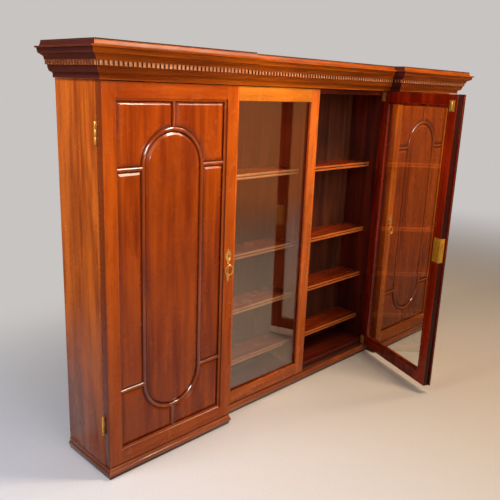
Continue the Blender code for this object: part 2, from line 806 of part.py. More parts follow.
def build_wing_door(word, side):
    """A panelled door with its beads, hinges, escutcheon and ring."""
    empty = axis_empty(f"axis_wing_door_{word}", (side * HINGE_AXIS_X, HINGE_AXIS_Y, DOOR_BOTTOM))
    left = WING_IN + EDGE_INSET if side > 0 else -HALF + EDGE_INSET
    back = FRONT + WING_DOOR_THICKNESS
    place = Matrix.Translation((left, back, DOOR_BOTTOM)) @ STAND
    outline = rectangle(0, 0, WING_DOOR_WIDTH, DOOR_HEIGHT)
    frame = moulding(f"wing_door_{word}_frame", outline, wing_frame_profile(), True, place)
    cuts = leaf_box("cut", side, JOINT_GAP, door=True)
    boolean(frame, joined(frame.name + "_mortises", cuts), "DIFFERENCE")
    handle_x = side * (WING_IN + EDGE_INSET + WING_FRAME / 2)
    keyhole = keyhole_cutter(handle_x, FRONT, KEYHOLE_DEPTH)
    boolean(frame, keyhole, "DIFFERENCE")
    wood(frame)
    panel = build_panel(f"wing_door_{word}_panel", place)
    level = WING_DOOR_THICKNESS - PANEL_SHEET_DROP + JOINT_GAP
    beads = build_beads(f"wing_door_{word}_beads", place @ Matrix.Translation((0, 0, level)))
    hang(empty, [frame, panel, beads])
    build_butt_hinges(side, word, empty)
    build_handle(f"wing_{word}", handle_x, FRONT, empty)
    return empty


def keyhole_cutter(x, face, depth):
    """A keyhole: a round hole above a slot, cut in from a door's face."""
    z = HANDLE_TOP - KEYHOLE_BELOW_TOP
    middle = (x, face, z)
    hole = cylinder("keyhole", middle, KEYHOLE_RADIUS, 2 * depth, (0, 1, 0))
    slot = box("slot", (x - KEYHOLE_SLOT / 2, face - depth, z - KEYHOLE_DROP),
               (x + KEYHOLE_SLOT / 2, face + depth, z))
    boolean(hole, slot, "UNION")
    return settle(hole)


def build_handle(word, x, face, door_empty):
    """An escutcheon plate with its keyhole and eye, and the ring that swings in the eye."""
    bottom = HANDLE_TOP - HANDLE_HEIGHT
    half = [(HANDLE_WIDTH / 2 * out, HANDLE_HEIGHT * up) for out, up in HANDLE_SHARES]
    outline = half + [(-u, v) for u, v in half[-2:0:-1]]
    place = Matrix.Translation((x, face - JOINT_GAP, bottom)) @ STAND
    tips = (half[0], half[-1])
    plate = slab(f"handle_plate_{word}", outline, 0, HANDLE_THICKNESS, place, tips)
    eye_z = HANDLE_TOP - EYE_BELOW_TOP
    eye_y = face - JOINT_GAP - HANDLE_THICKNESS - EYE_OUT
    boolean(plate, eye_lug(x, eye_y, eye_z, face), "UNION")
    bore = cylinder("eye_bore", (x, eye_y, eye_z), EYE_BORE, EYE_WIDTH + OVERRUN, (1, 0, 0))
    boolean(plate, bore, "DIFFERENCE")
    boolean(plate, keyhole_cutter(x, face, KEYHOLE_DEPTH), "DIFFERENCE")
    brass(settle(plate))
    hang(door_empty, [plate])

    empty = axis_empty(f"axis_ring_{word}", (x, eye_y, eye_z), door_empty)
    bpy.ops.mesh.primitive_torus_add(major_segments=28, minor_segments=8,
                                     major_radius=RING_RADIUS, minor_radius=RING_WIRE)
    ring = bpy.context.object
    for group in list(ring.users_collection):
        group.objects.unlink(ring)
    PARTS.objects.link(ring)
    ring.name = f"ring_pull_{word}"
    ring.data.transform(Matrix.Translation((x, eye_y, eye_z - RING_RADIUS)) @ STAND)
    brass(ring)
    hang(empty, [ring])


def eye_lug(x, eye_y, eye_z, face):
    """The lug that carries the ring: a round nose on a neck that grows out of the plate."""
    root = face - JOINT_GAP - HANDLE_THICKNESS / 2
    nose = arc((-eye_y, eye_z), EYE_RADIUS, 90, -90, 8)
    outline = [(-root, eye_z + EYE_RADIUS), *nose, (-root, eye_z - EYE_RADIUS)]
    lug = slab("lug", outline, -EYE_WIDTH / 2, EYE_WIDTH / 2)
    turn = Matrix(((0, 0, 1, x), (-1, 0, 0, 0), (0, 1, 0, 0), (0, 0, 0, 1)))
    lug.data.transform(turn)
    form = bmesh.new()
    form.from_mesh(lug.data)
    bmesh.ops.recalc_face_normals(form, faces=form.faces)
    form.to_mesh(lug.data)
    form.free()
    return lug


def glazed_frame_profile():
    """Cross section of a glazed door's frame, rebated at the back for glass and beads."""
    thick = GLAZED_THICKNESS
    rebate = GLAZED_FRAME - GLASS_REBATE
    return [(0, ARRIS), (0, thick - ARRIS), (ARRIS, thick), (GLAZED_FRAME - ARRIS, thick),
            (GLAZED_FRAME, thick - ARRIS), (GLAZED_FRAME, thick - GLASS_SET),
            (rebate, thick - GLASS_SET), (rebate, 0), (ARRIS, 0)]


def glazing_bead_profile():
    """Cross section of the beads that hold the glass: a quadrant inside the rebate."""
    low = JOINT_GAP
    high = GLAZED_THICKNESS - GLASS_SET - GLASS - 2 * JOINT_GAP
    width = BEAD_FACE
    round_off = arc((width - (high - low) / 2, low + (high - low) / 2), (high - low) / 2, -90, 0, 4)
    return [(0, low), *round_off, (width, high), (0, high)]


def build_glazed_door(word, side):
    """A glazed door: its frame, its glass, its glazing beads and its two pivot hinges."""
    empty = axis_empty(f"axis_glazed_door_{word}", (side * PIVOT_AXIS_X, PIVOT_AXIS_Y, DOOR_BOTTOM))
    left = MEETING_GAP / 2 if side > 0 else -(WING_IN - GLAZED_SIDE_GAP)
    place = Matrix.Translation((left, CENTRE_FRONT + GLAZED_THICKNESS, DOOR_BOTTOM)) @ STAND
    outline = rectangle(0, 0, GLAZED_WIDTH, DOOR_HEIGHT)
    frame = moulding(f"glazed_door_{word}_frame", outline, glazed_frame_profile(), True, place)
    inset = GLAZED_FRAME - GLASS_REBATE + JOINT_GAP
    room = rectangle(inset, inset, GLAZED_WIDTH - inset, DOOR_HEIGHT - inset)
    top = GLAZED_THICKNESS - GLASS_SET - JOINT_GAP
    glass = slab(f"glass_{word}", room, top - GLASS, top, place)
    paint(glass, CLEAR, roughness=0.05)
    bead = moulding(f"glazing_bead_{word}", room, glazing_bead_profile(), True, place)
    wood(bead)
    if side > 0:
        cut_lock_seat(frame)
    else:
        cut_strike(frame)
    hinges = build_pivots(word, side, frame)
    wood(frame)
    hang(empty, [frame, glass, bead, *hinges])
    return empty


def angle_plate(name, side, end, grown):
    """The two leaves of a pivot hinge, let into a door's end and its back face."""
    edge = side * (WING_IN - GLAZED_SIDE_GAP)
    xs = sorted((edge + side * grown * 4, edge - side * (PIVOT_PLATE_WIDTH + grown)))
    back = CENTRE_FRONT + GLAZED_THICKNESS
    tip = DOOR_TOP if end > 0 else DOOR_BOTTOM
    flat_ys = (CENTRE_FRONT + PIVOT_INSET / 2 - grown, back + grown * 4)
    flat_zs = sorted((tip + end * grown * 4, tip - end * (PLATE_THICKNESS + grown)))
    tall_zs = sorted((tip + end * grown * 4, tip - end * (PIVOT_PLATE_HEIGHT + grown)))
    flat = box(name, (xs[0], flat_ys[0], flat_zs[0]), (xs[1], flat_ys[1], flat_zs[1]))
    tall = box("tall_leaf", (xs[0], back - PLATE_THICKNESS - grown, tall_zs[0]),
               (xs[1], flat_ys[1], tall_zs[1]))
    boolean(flat, tall, "UNION")
    return settle(flat)


def build_pivots(word, side, frame):
    """The upper and lower pivot hinge of a glazed door."""
    made = []
    for level, end in (("lower", -1), ("upper", 1)):
        boolean(frame, angle_plate(f"{frame.name}_{level}_mortise", side, end, JOINT_GAP),
                "DIFFERENCE")
        plate = angle_plate(f"pivot_{level}_{word}", side, end, 0)
        tip = DOOR_TOP if end > 0 else DOOR_BOTTOM
        seat = CORNICE_Z + JOINT_GAP if end > 0 else PLINTH_HEIGHT
        reach = abs(seat - tip) + PIVOT_ENTRY
        start = tip - end * PLATE_THICKNESS / 2
        middle = (side * PIVOT_AXIS_X, PIVOT_AXIS_Y, start + end * (reach + PLATE_THICKNESS / 2) / 2)
        pin = cylinder("pivot_pin", middle, PIVOT_RADIUS, reach + PLATE_THICKNESS / 2, (0, 0, 1))
        boolean(plate, pin, "UNION")
        made.append(brass(settle(plate)))
    return made


def lock_plates(name, grown):
    """The lock's plate on the stile's back and the one on its edge, as one bent piece."""
    edge = MEETING_GAP / 2
    back = CENTRE_FRONT + GLAZED_THICKNESS
    zs = (LOCK_MIDDLE - LOCK_HEIGHT / 2 - grown, LOCK_MIDDLE + LOCK_HEIGHT / 2 + grown)
    face = box(name, (edge - grown * 4, back - PLATE_THICKNESS - grown, zs[0]),
               (edge + LOCK_WIDTH + grown, back + grown * 4, zs[1]))
    lip = GLAZED_THICKNESS / 6
    selvage = box("selvage", (edge - grown * 4, CENTRE_FRONT + lip - grown, zs[0]),
                  (edge + PLATE_THICKNESS + grown, back + grown * 4, zs[1]))
    boolean(face, selvage, "UNION")
    return settle(face)


def bolt_box(name, grown, start, length):
    """The lock's bolt, or the pocket that it slides in."""
    y = CENTRE_FRONT + GLAZED_THICKNESS / 2
    return box(name, (start - grown, y - BOLT_THICKNESS / 2 - grown,
                      LOCK_MIDDLE - BOLT_HEIGHT / 2 - grown),
               (start + length + grown, y + BOLT_THICKNESS / 2 + grown,
                LOCK_MIDDLE + BOLT_HEIGHT / 2 + grown))


def cut_lock_seat(frame):
    """Lets the lock's plates and its bolt into the right door's meeting stile."""
    boolean(frame, lock_plates("lock_seat", JOINT_GAP), "DIFFERENCE")
    edge = MEETING_GAP / 2
    boolean(frame, bolt_box("bolt_pocket", FIT_GAP, edge, BOLT_LENGTH + FIT_GAP), "DIFFERENCE")
    handle_x = edge + GLAZED_HANDLE_IN
    boolean(frame, keyhole_cutter(handle_x, CENTRE_FRONT, KEYHOLE_DEPTH / 2), "DIFFERENCE")


def cut_strike(frame):
    """Cuts the hole that the bolt enters in the left door's meeting stile."""
    start = -MEETING_GAP / 2 - BOLT_TRAVEL
    hole = bolt_box("strike_hole", 2 * FIT_GAP, start, BOLT_TRAVEL + OVERRUN)
    boolean(frame, hole, "DIFFERENCE")


def build_lock(empty):
    """The lock of the right glazed door, and its bolt on a slide of its own."""
    edge = MEETING_GAP / 2
    case = lock_plates("lock_plate", 0)
    boolean(case, bolt_box("bolt_slot", FIT_GAP, edge - OVERRUN, BOLT_LENGTH + OVERRUN),
            "DIFFERENCE")
    brass(settle(case))
    bolt = brass(bolt_box("lock_bolt", 0, edge + JOINT_GAP, BOLT_LENGTH - JOINT_GAP))
    slide = axis_empty("axis_lock_bolt", (edge, CENTRE_FRONT + GLAZED_THICKNESS / 2, LOCK_MIDDLE),
                       empty)
    hang(slide, [bolt])
    hang(empty, [case])


def build_catch(empty):
    """The bolt case near the top of the meeting stile."""
    back = CENTRE_FRONT + GLAZED_THICKNESS + JOINT_GAP
    low_x = PARTITION / 2 + MEETING_GAP
    top = DOOR_TOP - CATCH_FROM_TOP
    plate = box("door_catch", (low_x, back, top - CATCH_HEIGHT),
                (low_x + CATCH_WIDTH, back + PLATE_THICKNESS, top))
    middle = (low_x + CATCH_WIDTH / 2, back + PLATE_THICKNESS, top - CATCH_HEIGHT / 2)
    barrel = cylinder("catch_barrel", middle, CATCH_BARREL, CATCH_HEIGHT * 3 / 4, (0, 0, 1), 12)
    trim = box("catch_trim", (low_x - OVERRUN, back - OVERRUN, top - CATCH_HEIGHT - OVERRUN),
               (low_x + CATCH_WIDTH + OVERRUN, back, top + OVERRUN))
    boolean(plate, barrel, "UNION")
    boolean(plate, trim, "DIFFERENCE")
    brass(settle(plate))
    hang(empty, [plate])


def build_astragal(empty):
    """The half round strip on the right meeting stile, which laps over the left door."""
    start = MEETING_GAP / 2 - ASTRAGAL_LAP
    half = ASTRAGAL_WIDTH / 2
    curve = [(start + half - half * math.cos(a), ASTRAGAL_HEIGHT * math.sin(a))
             for a in (math.pi * i / 8 for i in range(9))]
    outline = [(x, CENTRE_FRONT - JOINT_GAP - out) for x, out in curve]
    strip = slab("astragal", outline, DOOR_BOTTOM, DOOR_TOP)
    hang(empty, [wood(strip)])


def main():
    """Builds the cabinet, then swings the right glazed door open."""
    build_plinth()
    build_carcass()
    build_cornice()
    build_shelves()
    build_wing_door("left", -1)
    build_wing_door("right", 1)
    build_glazed_door("left", -1)
    right = build_glazed_door("right", 1)
    build_lock(right)
    build_catch(right)
    build_astragal(right)
    handle_x = MEETING_GAP / 2 + GLAZED_HANDLE_IN
    build_handle("glazed_right", handle_x, CENTRE_FRONT, right)
    right.rotation_euler.z = math.radians(OPEN_ANGLE)
    bpy.context.view_layer.update()


main()
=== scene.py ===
"""Looks of the breakfront glazed bookcase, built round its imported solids.

Lengths are metres in the solids' own frame: +Z up, the front faces -Y, and the right
glazed door stands open.
"""

from __future__ import annotations

import json
import logging
import math
from collections.abc import Callable, Iterator, Sequence
from contextlib import contextmanager
from dataclasses import dataclass
from enum import Enum
from functools import cache

import bmesh
import bpy
from mathutils import Matrix, Vector

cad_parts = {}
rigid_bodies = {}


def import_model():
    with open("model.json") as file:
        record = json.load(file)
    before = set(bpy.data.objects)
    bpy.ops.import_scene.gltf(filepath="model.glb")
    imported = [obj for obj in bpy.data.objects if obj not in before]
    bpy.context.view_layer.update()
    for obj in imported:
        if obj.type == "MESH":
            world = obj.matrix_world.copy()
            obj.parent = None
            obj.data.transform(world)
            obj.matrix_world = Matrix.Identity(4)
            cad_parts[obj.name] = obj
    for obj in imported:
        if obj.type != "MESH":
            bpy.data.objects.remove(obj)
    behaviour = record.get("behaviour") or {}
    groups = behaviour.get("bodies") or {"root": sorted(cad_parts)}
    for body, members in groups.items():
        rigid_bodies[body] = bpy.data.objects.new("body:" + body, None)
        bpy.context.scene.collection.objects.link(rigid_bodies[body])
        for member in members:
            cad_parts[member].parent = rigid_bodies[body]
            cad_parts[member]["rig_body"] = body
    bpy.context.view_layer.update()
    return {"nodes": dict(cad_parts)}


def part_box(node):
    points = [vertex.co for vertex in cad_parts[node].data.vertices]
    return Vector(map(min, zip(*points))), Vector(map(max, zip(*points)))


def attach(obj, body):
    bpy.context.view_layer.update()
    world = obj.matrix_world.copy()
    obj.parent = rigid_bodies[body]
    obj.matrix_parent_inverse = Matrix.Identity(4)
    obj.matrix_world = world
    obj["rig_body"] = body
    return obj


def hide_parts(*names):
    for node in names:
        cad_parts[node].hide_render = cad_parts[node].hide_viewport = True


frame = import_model()

log = logging.getLogger("bookcase")

Colour = tuple[float, float, float, float]
Point = tuple[float, float]
Place = tuple[float, float, float]
Item = bpy.types.Object
Socket = bpy.types.NodeSocket
Feeds = dict[int | str, object]

CARCASS = "carcass"
TINY = 0.00001
SUNK = 3 * TINY
FLAT = math.radians(0.5)
CURVE_PIECES = 8
ARRIS = 0.0006
FINE_ARRIS = 0.0003


def colour(*tone: float) -> Colour:
    """Gives the linear colour that shows as some sRGB values.

    Args:
        tone: Red, green and blue, each from 0 to 255.

    Returns:
        The colour, with an alpha of 1.
    """
    linear = [share / 12.92 if share <= 0.04045 else ((share + 0.055) / 1.055) ** 2.4
              for share in (value / 255 for value in tone)]
    return (*linear, 1.0)


class Grain(Enum):
    """The way the wood's fibres run."""

    UPRIGHT = "upright"
    LEVEL = "level"
    DEEP = "deep"
    RUN = "run"
    FRAME = "frame"


class Sweep(Enum):
    """How a moulding's profile goes on to its next point."""

    LINE = "line"
    ROUND = "round"
    HOLLOW = "hollow"


@dataclass(frozen=True)
class Turn:
    """A point of a profile: how far out and how high it is, and how the profile gets there."""

    out: float
    up: float
    sweep: Sweep = Sweep.LINE


def trace(start: Turn, turns: Sequence[Turn]) -> list[Point]:
    """Follows a profile from a start.

    Args:
        start: Where the profile begins.
        turns: Its further points.

    Returns:
        The points as (out, up), with the start first.
    """
    points = [(start.out, start.up)]
    for turn in turns:
        (out, up), wide, high = points[-1], turn.out - points[-1][0], turn.up - points[-1][1]
        if turn.sweep is Sweep.LINE:
            points.append((turn.out, turn.up))
            continue
        for step in range(1, CURVE_PIECES + 1):
            angle = math.pi / 2 * step / CURVE_PIECES
            sine, rest = math.sin(angle), 1 - math.cos(angle)
            if turn.sweep is Sweep.ROUND:
                points.append((out + wide * rest, up + high * sine))
            else:
                points.append((out + wide * sine, up + high * rest))
    return points


class Bench:
    """Blender's modelling steps, each as it is done by hand."""

    @staticmethod
    def only(item: Item) -> None:
        """Selects one object and makes it the active one.

        Args:
            item: The object.
        """
        bpy.ops.object.select_all(action="DESELECT")
        item.select_set(True)
        bpy.context.view_layer.objects.active = item

    @staticmethod
    def whole() -> None:
        """Selects the whole mesh in edit mode."""
        bpy.ops.mesh.select_all(action="SELECT")

    @staticmethod
    def outwards() -> None:
        """Turns the mesh's faces outwards in edit mode."""
        Bench.whole()
        bpy.ops.mesh.normals_make_consistent(inside=False)

    @staticmethod
    def settle(name: str) -> Item:
        """Names the active object and puts its place into its mesh.

        Args:
            name: The new name.

        Returns:
            The object.
        """
        item = bpy.context.active_object
        item.name = name
        item.data.name = name
        bpy.ops.object.transform_apply(location=True, rotation=True, scale=True)
        return item

    @staticmethod
    def block(name: str, low: Sequence[float], high: Sequence[float]) -> Item:
        """Makes a block between two corners.

        Args:
            name: The new object's name.
            low: Its lowest corner.
            high: Its highest corner.

        Returns:
            The block.
        """
        bpy.ops.object.select_all(action="DESELECT")
        middle = [(a + b) / 2 for a, b in zip(low, high)]
        size = [b - a for a, b in zip(low, high)]
        bpy.ops.mesh.primitive_cube_add(size=1.0, location=middle, scale=size)
        return Bench.settle(name)

    @staticmethod
    def drum(name: str, middle: Sequence[float], radius: float, length: float, turn: Place,
             sides: int) -> Item:
        """Makes a cylinder.

        Args:
            name: The new object's name.
            middle: Its middle.
            radius: Its radius.
            length: Its length.
            turn: Its rotation from standing upright.
            sides: How many sides it has.

        Returns:
            The cylinder.
        """
        bpy.ops.object.select_all(action="DESELECT")
        bpy.ops.mesh.primitive_cylinder_add(vertices=sides, radius=radius, depth=length,
                                            location=middle, rotation=turn)
        return Bench.settle(name)

    @staticmethod
    @contextmanager
    def shaping(item: Item, mode: str = "FACE") -> Iterator[None]:
        """Holds an object in edit mode with nothing selected.

        Args:
            item: The object.
            mode: What is selected there: VERT, EDGE or FACE.
        """
        Bench.only(item)
        bpy.ops.object.mode_set(mode="EDIT")
        bpy.ops.mesh.select_mode(type=mode)
        bpy.ops.mesh.select_all(action="DESELECT")
        yield
        bpy.ops.object.mode_set(mode="OBJECT")

    @staticmethod
    def pick(item: Item, test: Callable[[bmesh.types.BMVert], bool]) -> None:
        """Selects the vertices, edges or faces, as the mode says, that pass a test.

        Args:
            item: The object in edit mode.
            test: What each part is asked.
        """
        bpy.ops.mesh.select_all(action="DESELECT")
        form = bmesh.from_edit_mesh(item.data)
        corners, lines, _ = bpy.context.tool_settings.mesh_select_mode
        parts = form.verts if corners else form.edges if lines else form.faces
        for part in parts:
            if test(part):
                part.select_set(True)
        form.select_flush_mode()
        bmesh.update_edit_mesh(item.data)

    @staticmethod
    def push(move: Sequence[float]) -> None:
        """Extrudes what is selected."""
        bpy.ops.mesh.extrude_region_move(TRANSFORM_OT_translate={"value": tuple(move)})

    @staticmethod
    def scale(size: Sequence[float], middle: Sequence[float]) -> None:
        """Scales what is selected from a middle."""
        bpy.ops.transform.resize(value=size, center_override=middle)

    @staticmethod
    def carry(points: Sequence[Point], way: Sequence[float]) -> None:
        """Takes the selected face through a profile by insets and extrusions.

        Args:
            points: The profile as (out, up) from the face on. It only goes inwards.
            way: The face's normal.
        """
        for (out, up), (next_out, next_up) in zip(points, points[1:]):
            inward, onward = out - next_out, abs(next_up - up)
            if inward < TINY:
                Bench.push([share * onward for share in way])
            else:
                bpy.ops.mesh.inset(thickness=inward, depth=onward, use_even_offset=True)

    @staticmethod
    def cut(item: Item, tool: Item, operation: str = "DIFFERENCE") -> None:
        """Cuts a tool out of an object, or joins it on, and removes the tool.

        Args:
            item: The object.
            tool: What is cut out or joined on.
            operation: The Boolean's name.
        """
        step = item.modifiers.new("cut", "BOOLEAN")
        step.operation = operation
        step.solver = "EXACT"
        step.object = tool
        Bench.apply(item)
        bpy.data.objects.remove(tool)

    @staticmethod
    def apply(item: Item) -> None:
        """Applies an object's modifiers.

        Args:
            item: The object.
        """
        Bench.only(item)
        for step in list(item.modifiers):
            bpy.ops.object.modifier_apply(modifier=step.name)

    @staticmethod
    def trim(item: Item, point: Sequence[float], normal: Sequence[float]) -> None:
        """Saws off what lies past a plane.

        Args:
            item: The object.
            point: A point of the plane.
            normal: The plane's normal, towards what is dropped.
        """
        with Bench.shaping(item):
            Bench.whole()
            bpy.ops.mesh.bisect(plane_co=point, plane_no=normal, use_fill=True, clear_outer=True)

    @staticmethod
    def ease(item: Item, width: float, angle: float = 40, smooth: float = 35) -> None:
        """Rounds an object's arrises and shades it smooth between its corners.

        Args:
            item: The object.
            width: How wide the arrises get.
            angle: The least angle that counts as an arris, in degrees.
            smooth: The greatest angle between faces that are shaded as one, in degrees.
        """
        if width > 0:
            step = item.modifiers.new("arris", "BEVEL")
            step.width = width
            step.segments = 2
            step.limit_method = "ANGLE"
            step.angle_limit = math.radians(angle)
            step.use_clamp_overlap = True
            Bench.apply(item)
        Bench.only(item)
        bpy.ops.object.shade_smooth_by_angle(angle=math.radians(smooth))

    @staticmethod
    def dish(item: Item, facing: Sequence[float], rim: float, depth: float) -> None:
        """Sinks an object's flat front inside a narrow rim.

        Args:
            item: The object.
            facing: The way that the front faces.
            rim: How wide the rim is.
            depth: How deep the front sinks.
        """
        way = Vector(facing).normalized()
        with Bench.shaping(item):
            Bench.pick(item, lambda face: face.normal.dot(way) > 0.99)
            bpy.ops.mesh.inset(thickness=rim, depth=0.0, use_even_offset=False)
            bpy.ops.mesh.inset(thickness=0.5 * depth, depth=-depth, use_even_offset=False)

    @staticmethod
    def tidy(item: Item) -> None:
        """Merges doubled points and flat neighbouring faces, and turns the faces outwards.

        Args:
            item: The object.
        """
        with Bench.shaping(item):
            Bench.whole()
            bpy.ops.mesh.remove_doubles(threshold=TINY)
            bpy.ops.mesh.dissolve_limited(angle_limit=FLAT)
            Bench.outwards()

    @staticmethod
    def twin(item: Item, name: str) -> Item:
        """Copies an object with its own mesh.

        Args:
            item: The object.
            name: The copy's name.

        Returns:
            The copy.
        """
        other = bpy.data.objects.new(name, item.data.copy())
        bpy.context.scene.collection.objects.link(other)
        return other

    @staticmethod
    def copy_of(node: str, name: str) -> Item:
        """Copies a solid with its own tidied mesh.

        Args:
            node: The solid's name.
            name: The copy's name.

        Returns:
            The copy.
        """
        item = Bench.twin(frame["nodes"][node], name)
        item.data.materials.clear()
        if item.data.has_custom_normals:
            Bench.only(item)
            bpy.ops.mesh.customdata_custom_splitnormals_clear()
        Bench.tidy(item)
        return item


class Graph:
    """The nodes of a material or a world."""

    def __init__(self, owner: bpy.types.ID) -> None:
        """Clears the owner's nodes.

        Args:
            owner: The material or the world.
        """
        owner.use_nodes = True
        self.tree = owner.node_tree
        self.tree.nodes.clear()

    def node(self, kind: str, feeds: Feeds | None = None, **options: object) -> bpy.types.Node:
        """Adds a node.

        Args:
            kind: Its type.
            feeds: What goes into its inputs.
            options: Its options.

        Returns:
            The node.
        """
        made = self.tree.nodes.new("ShaderNode" + kind)
        for name, value in options.items():
            setattr(made, name, value)
        self.feed(made, feeds or {})
        return made

    def feed(self, node: bpy.types.Node, feeds: Feeds) -> None:
        """Links sockets to a node's inputs, or sets them to plain values.

        Args:
            node: The node.
            feeds: The sockets and values by the inputs' names or numbers.
        """
        for slot, source in feeds.items():
            if isinstance(source, Socket):
                self.tree.links.new(source, node.inputs[slot])
            else:
                node.inputs[slot].default_value = source

    def math(self, operation: str, first: object, second: object = 0.0) -> Socket:
        """Reckons with two values."""
        return self.node("Math", {0: first, 1: second}, operation=operation).outputs[0]

    def times(self, first: object, second: object) -> Socket:
        """Multiplies two values."""
        return self.math("MULTIPLY", first, second)

    def parts(self, vector: object) -> tuple[Socket, Socket, Socket]:
        """Splits a vector into x, y and z."""
        return tuple(self.node("SeparateXYZ", {0: vector}).outputs)

    def moved(self, vector: object, shift: Sequence[float], turn: Sequence[float],
              size: Sequence[float], kind: str = "POINT") -> Socket:
        """Moves, turns and stretches coordinates.

        Args:
            vector: The coordinates.
            shift: The Mapping node's location.
            turn: Its rotation in radians.
            size: Its scale.
            kind: Its type.

        Returns:
            The new coordinates.
        """
        feeds = {"Vector": vector, "Location": shift, "Rotation": turn, "Scale": size}
        return self.node("Mapping", feeds, vector_type=kind).outputs[0]

    def noise(self, vector: object, scale: float, detail: float, rough: float,
              twist: float = 0.0) -> Socket:
        """Makes a cloudy pattern.

        Args:
            vector: The coordinates.
            scale: The pattern's frequency in cycles per metre.
            detail: How many finer layers it has.
            rough: How strong they are.
            twist: How much it is distorted.

        Returns:
            The pattern, from 0 to 1.
        """
        feeds = {"Vector": vector, "Scale": scale, "Detail": detail, "Roughness": rough,
                 "Distortion": twist}
        return self.node("TexNoise", feeds).outputs[0]

    def span(self, value: object, low: float, high: float, start: float = 0.0,
             end: float = 1.0) -> Socket:
        """Stretches a value smoothly from one range to another.

        Args:
            value: The value.
            low: What becomes start.
            high: What becomes end.
            start: The result at low.
            end: The result at high.

        Returns:
            The result.
        """
        feeds = {"Value": value, "From Min": low, "From Max": high, "To Min": start, "To Max": end}
        return self.node("MapRange", feeds, interpolation_type="SMOOTHSTEP").outputs[0]

    def mix(self, share: object, first: object, second: object, blend: str = "MIX") -> Socket:
        """Mixes two colours, of which the share is the second's."""
        return self.node("Mix", {0: share, 6: first, 7: second}, data_type="RGBA",
                         blend_type=blend).outputs[2]

    def chosen(self, share: object, first: object, second: object) -> Socket:
        """Takes one value where the share is 0 and another where it is 1."""
        return self.node("Mix", {0: share, 2: first, 3: second}, data_type="FLOAT").outputs[0]

    def openness(self, reach: float, inside: bool = False) -> Socket:
        """Gives how open a place is, or how thick the piece is behind it.

        Args:
            reach: How far it looks.
            inside: Whether it looks into the piece.

        Returns:
            The openness: 1 on a plain face, and less in a hollow or on an arris.
        """
        return self.node("AmbientOcclusion", {"Distance": reach}, only_local=True, inside=inside,
                         samples=8).outputs["AO"]

    def blend(self, share: object, first: Socket, second: Socket) -> Socket:
        """Mixes two shaders."""
        return self.node("MixShader", {0: share, 1: first, 2: second}).outputs[0]


class Surface(Graph):
    """A material with a Principled shader."""

    def __init__(self, name: str) -> None:
        """Starts the material.

        Args:
            name: Its name.
        """
        self.material = bpy.data.materials.new(name)
        super().__init__(self.material)
        self.shader = self.node("BsdfPrincipled")
        self.output = self.node("OutputMaterial", {"Surface": self.shader.outputs[0]})
        self.at = self.node("TexCoord").outputs["Object"]

    def looks(self, **feeds: object) -> None:
        """Feeds the shader, with an underscore for each space in an input's name."""
        self.feed(self.shader, {name.replace("_", " "): feeds[name] for name in feeds})

    def relief(self, height: Socket, depth: float, strength: float) -> None:
        """Gives the shader a fine relief.

        Args:
            height: The relief, from 0 to 1.
            depth: How deep 1 is.
            strength: How much of it shows.
        """
        feeds = {"Strength": strength, "Distance": depth, "Height": height}
        self.looks(Normal=self.node("Bump", feeds).outputs[0])


@dataclass(frozen=True)
class Opening:
    """The opening of a frame, seen from the front: its stiles lie beside it, its rails across."""

    left: float
    right: float
    bottom: float
    top: float


@dataclass(frozen=True)
class Palette:
    """The two tones of a board's stripes."""

    pale: Colour
    deep: Colour


def stripes(*tones: float) -> Palette:
    """Makes a palette from the six sRGB values of its pale and its deep tone."""
    return Palette(colour(*tones[:3]), colour(*tones[3:]))


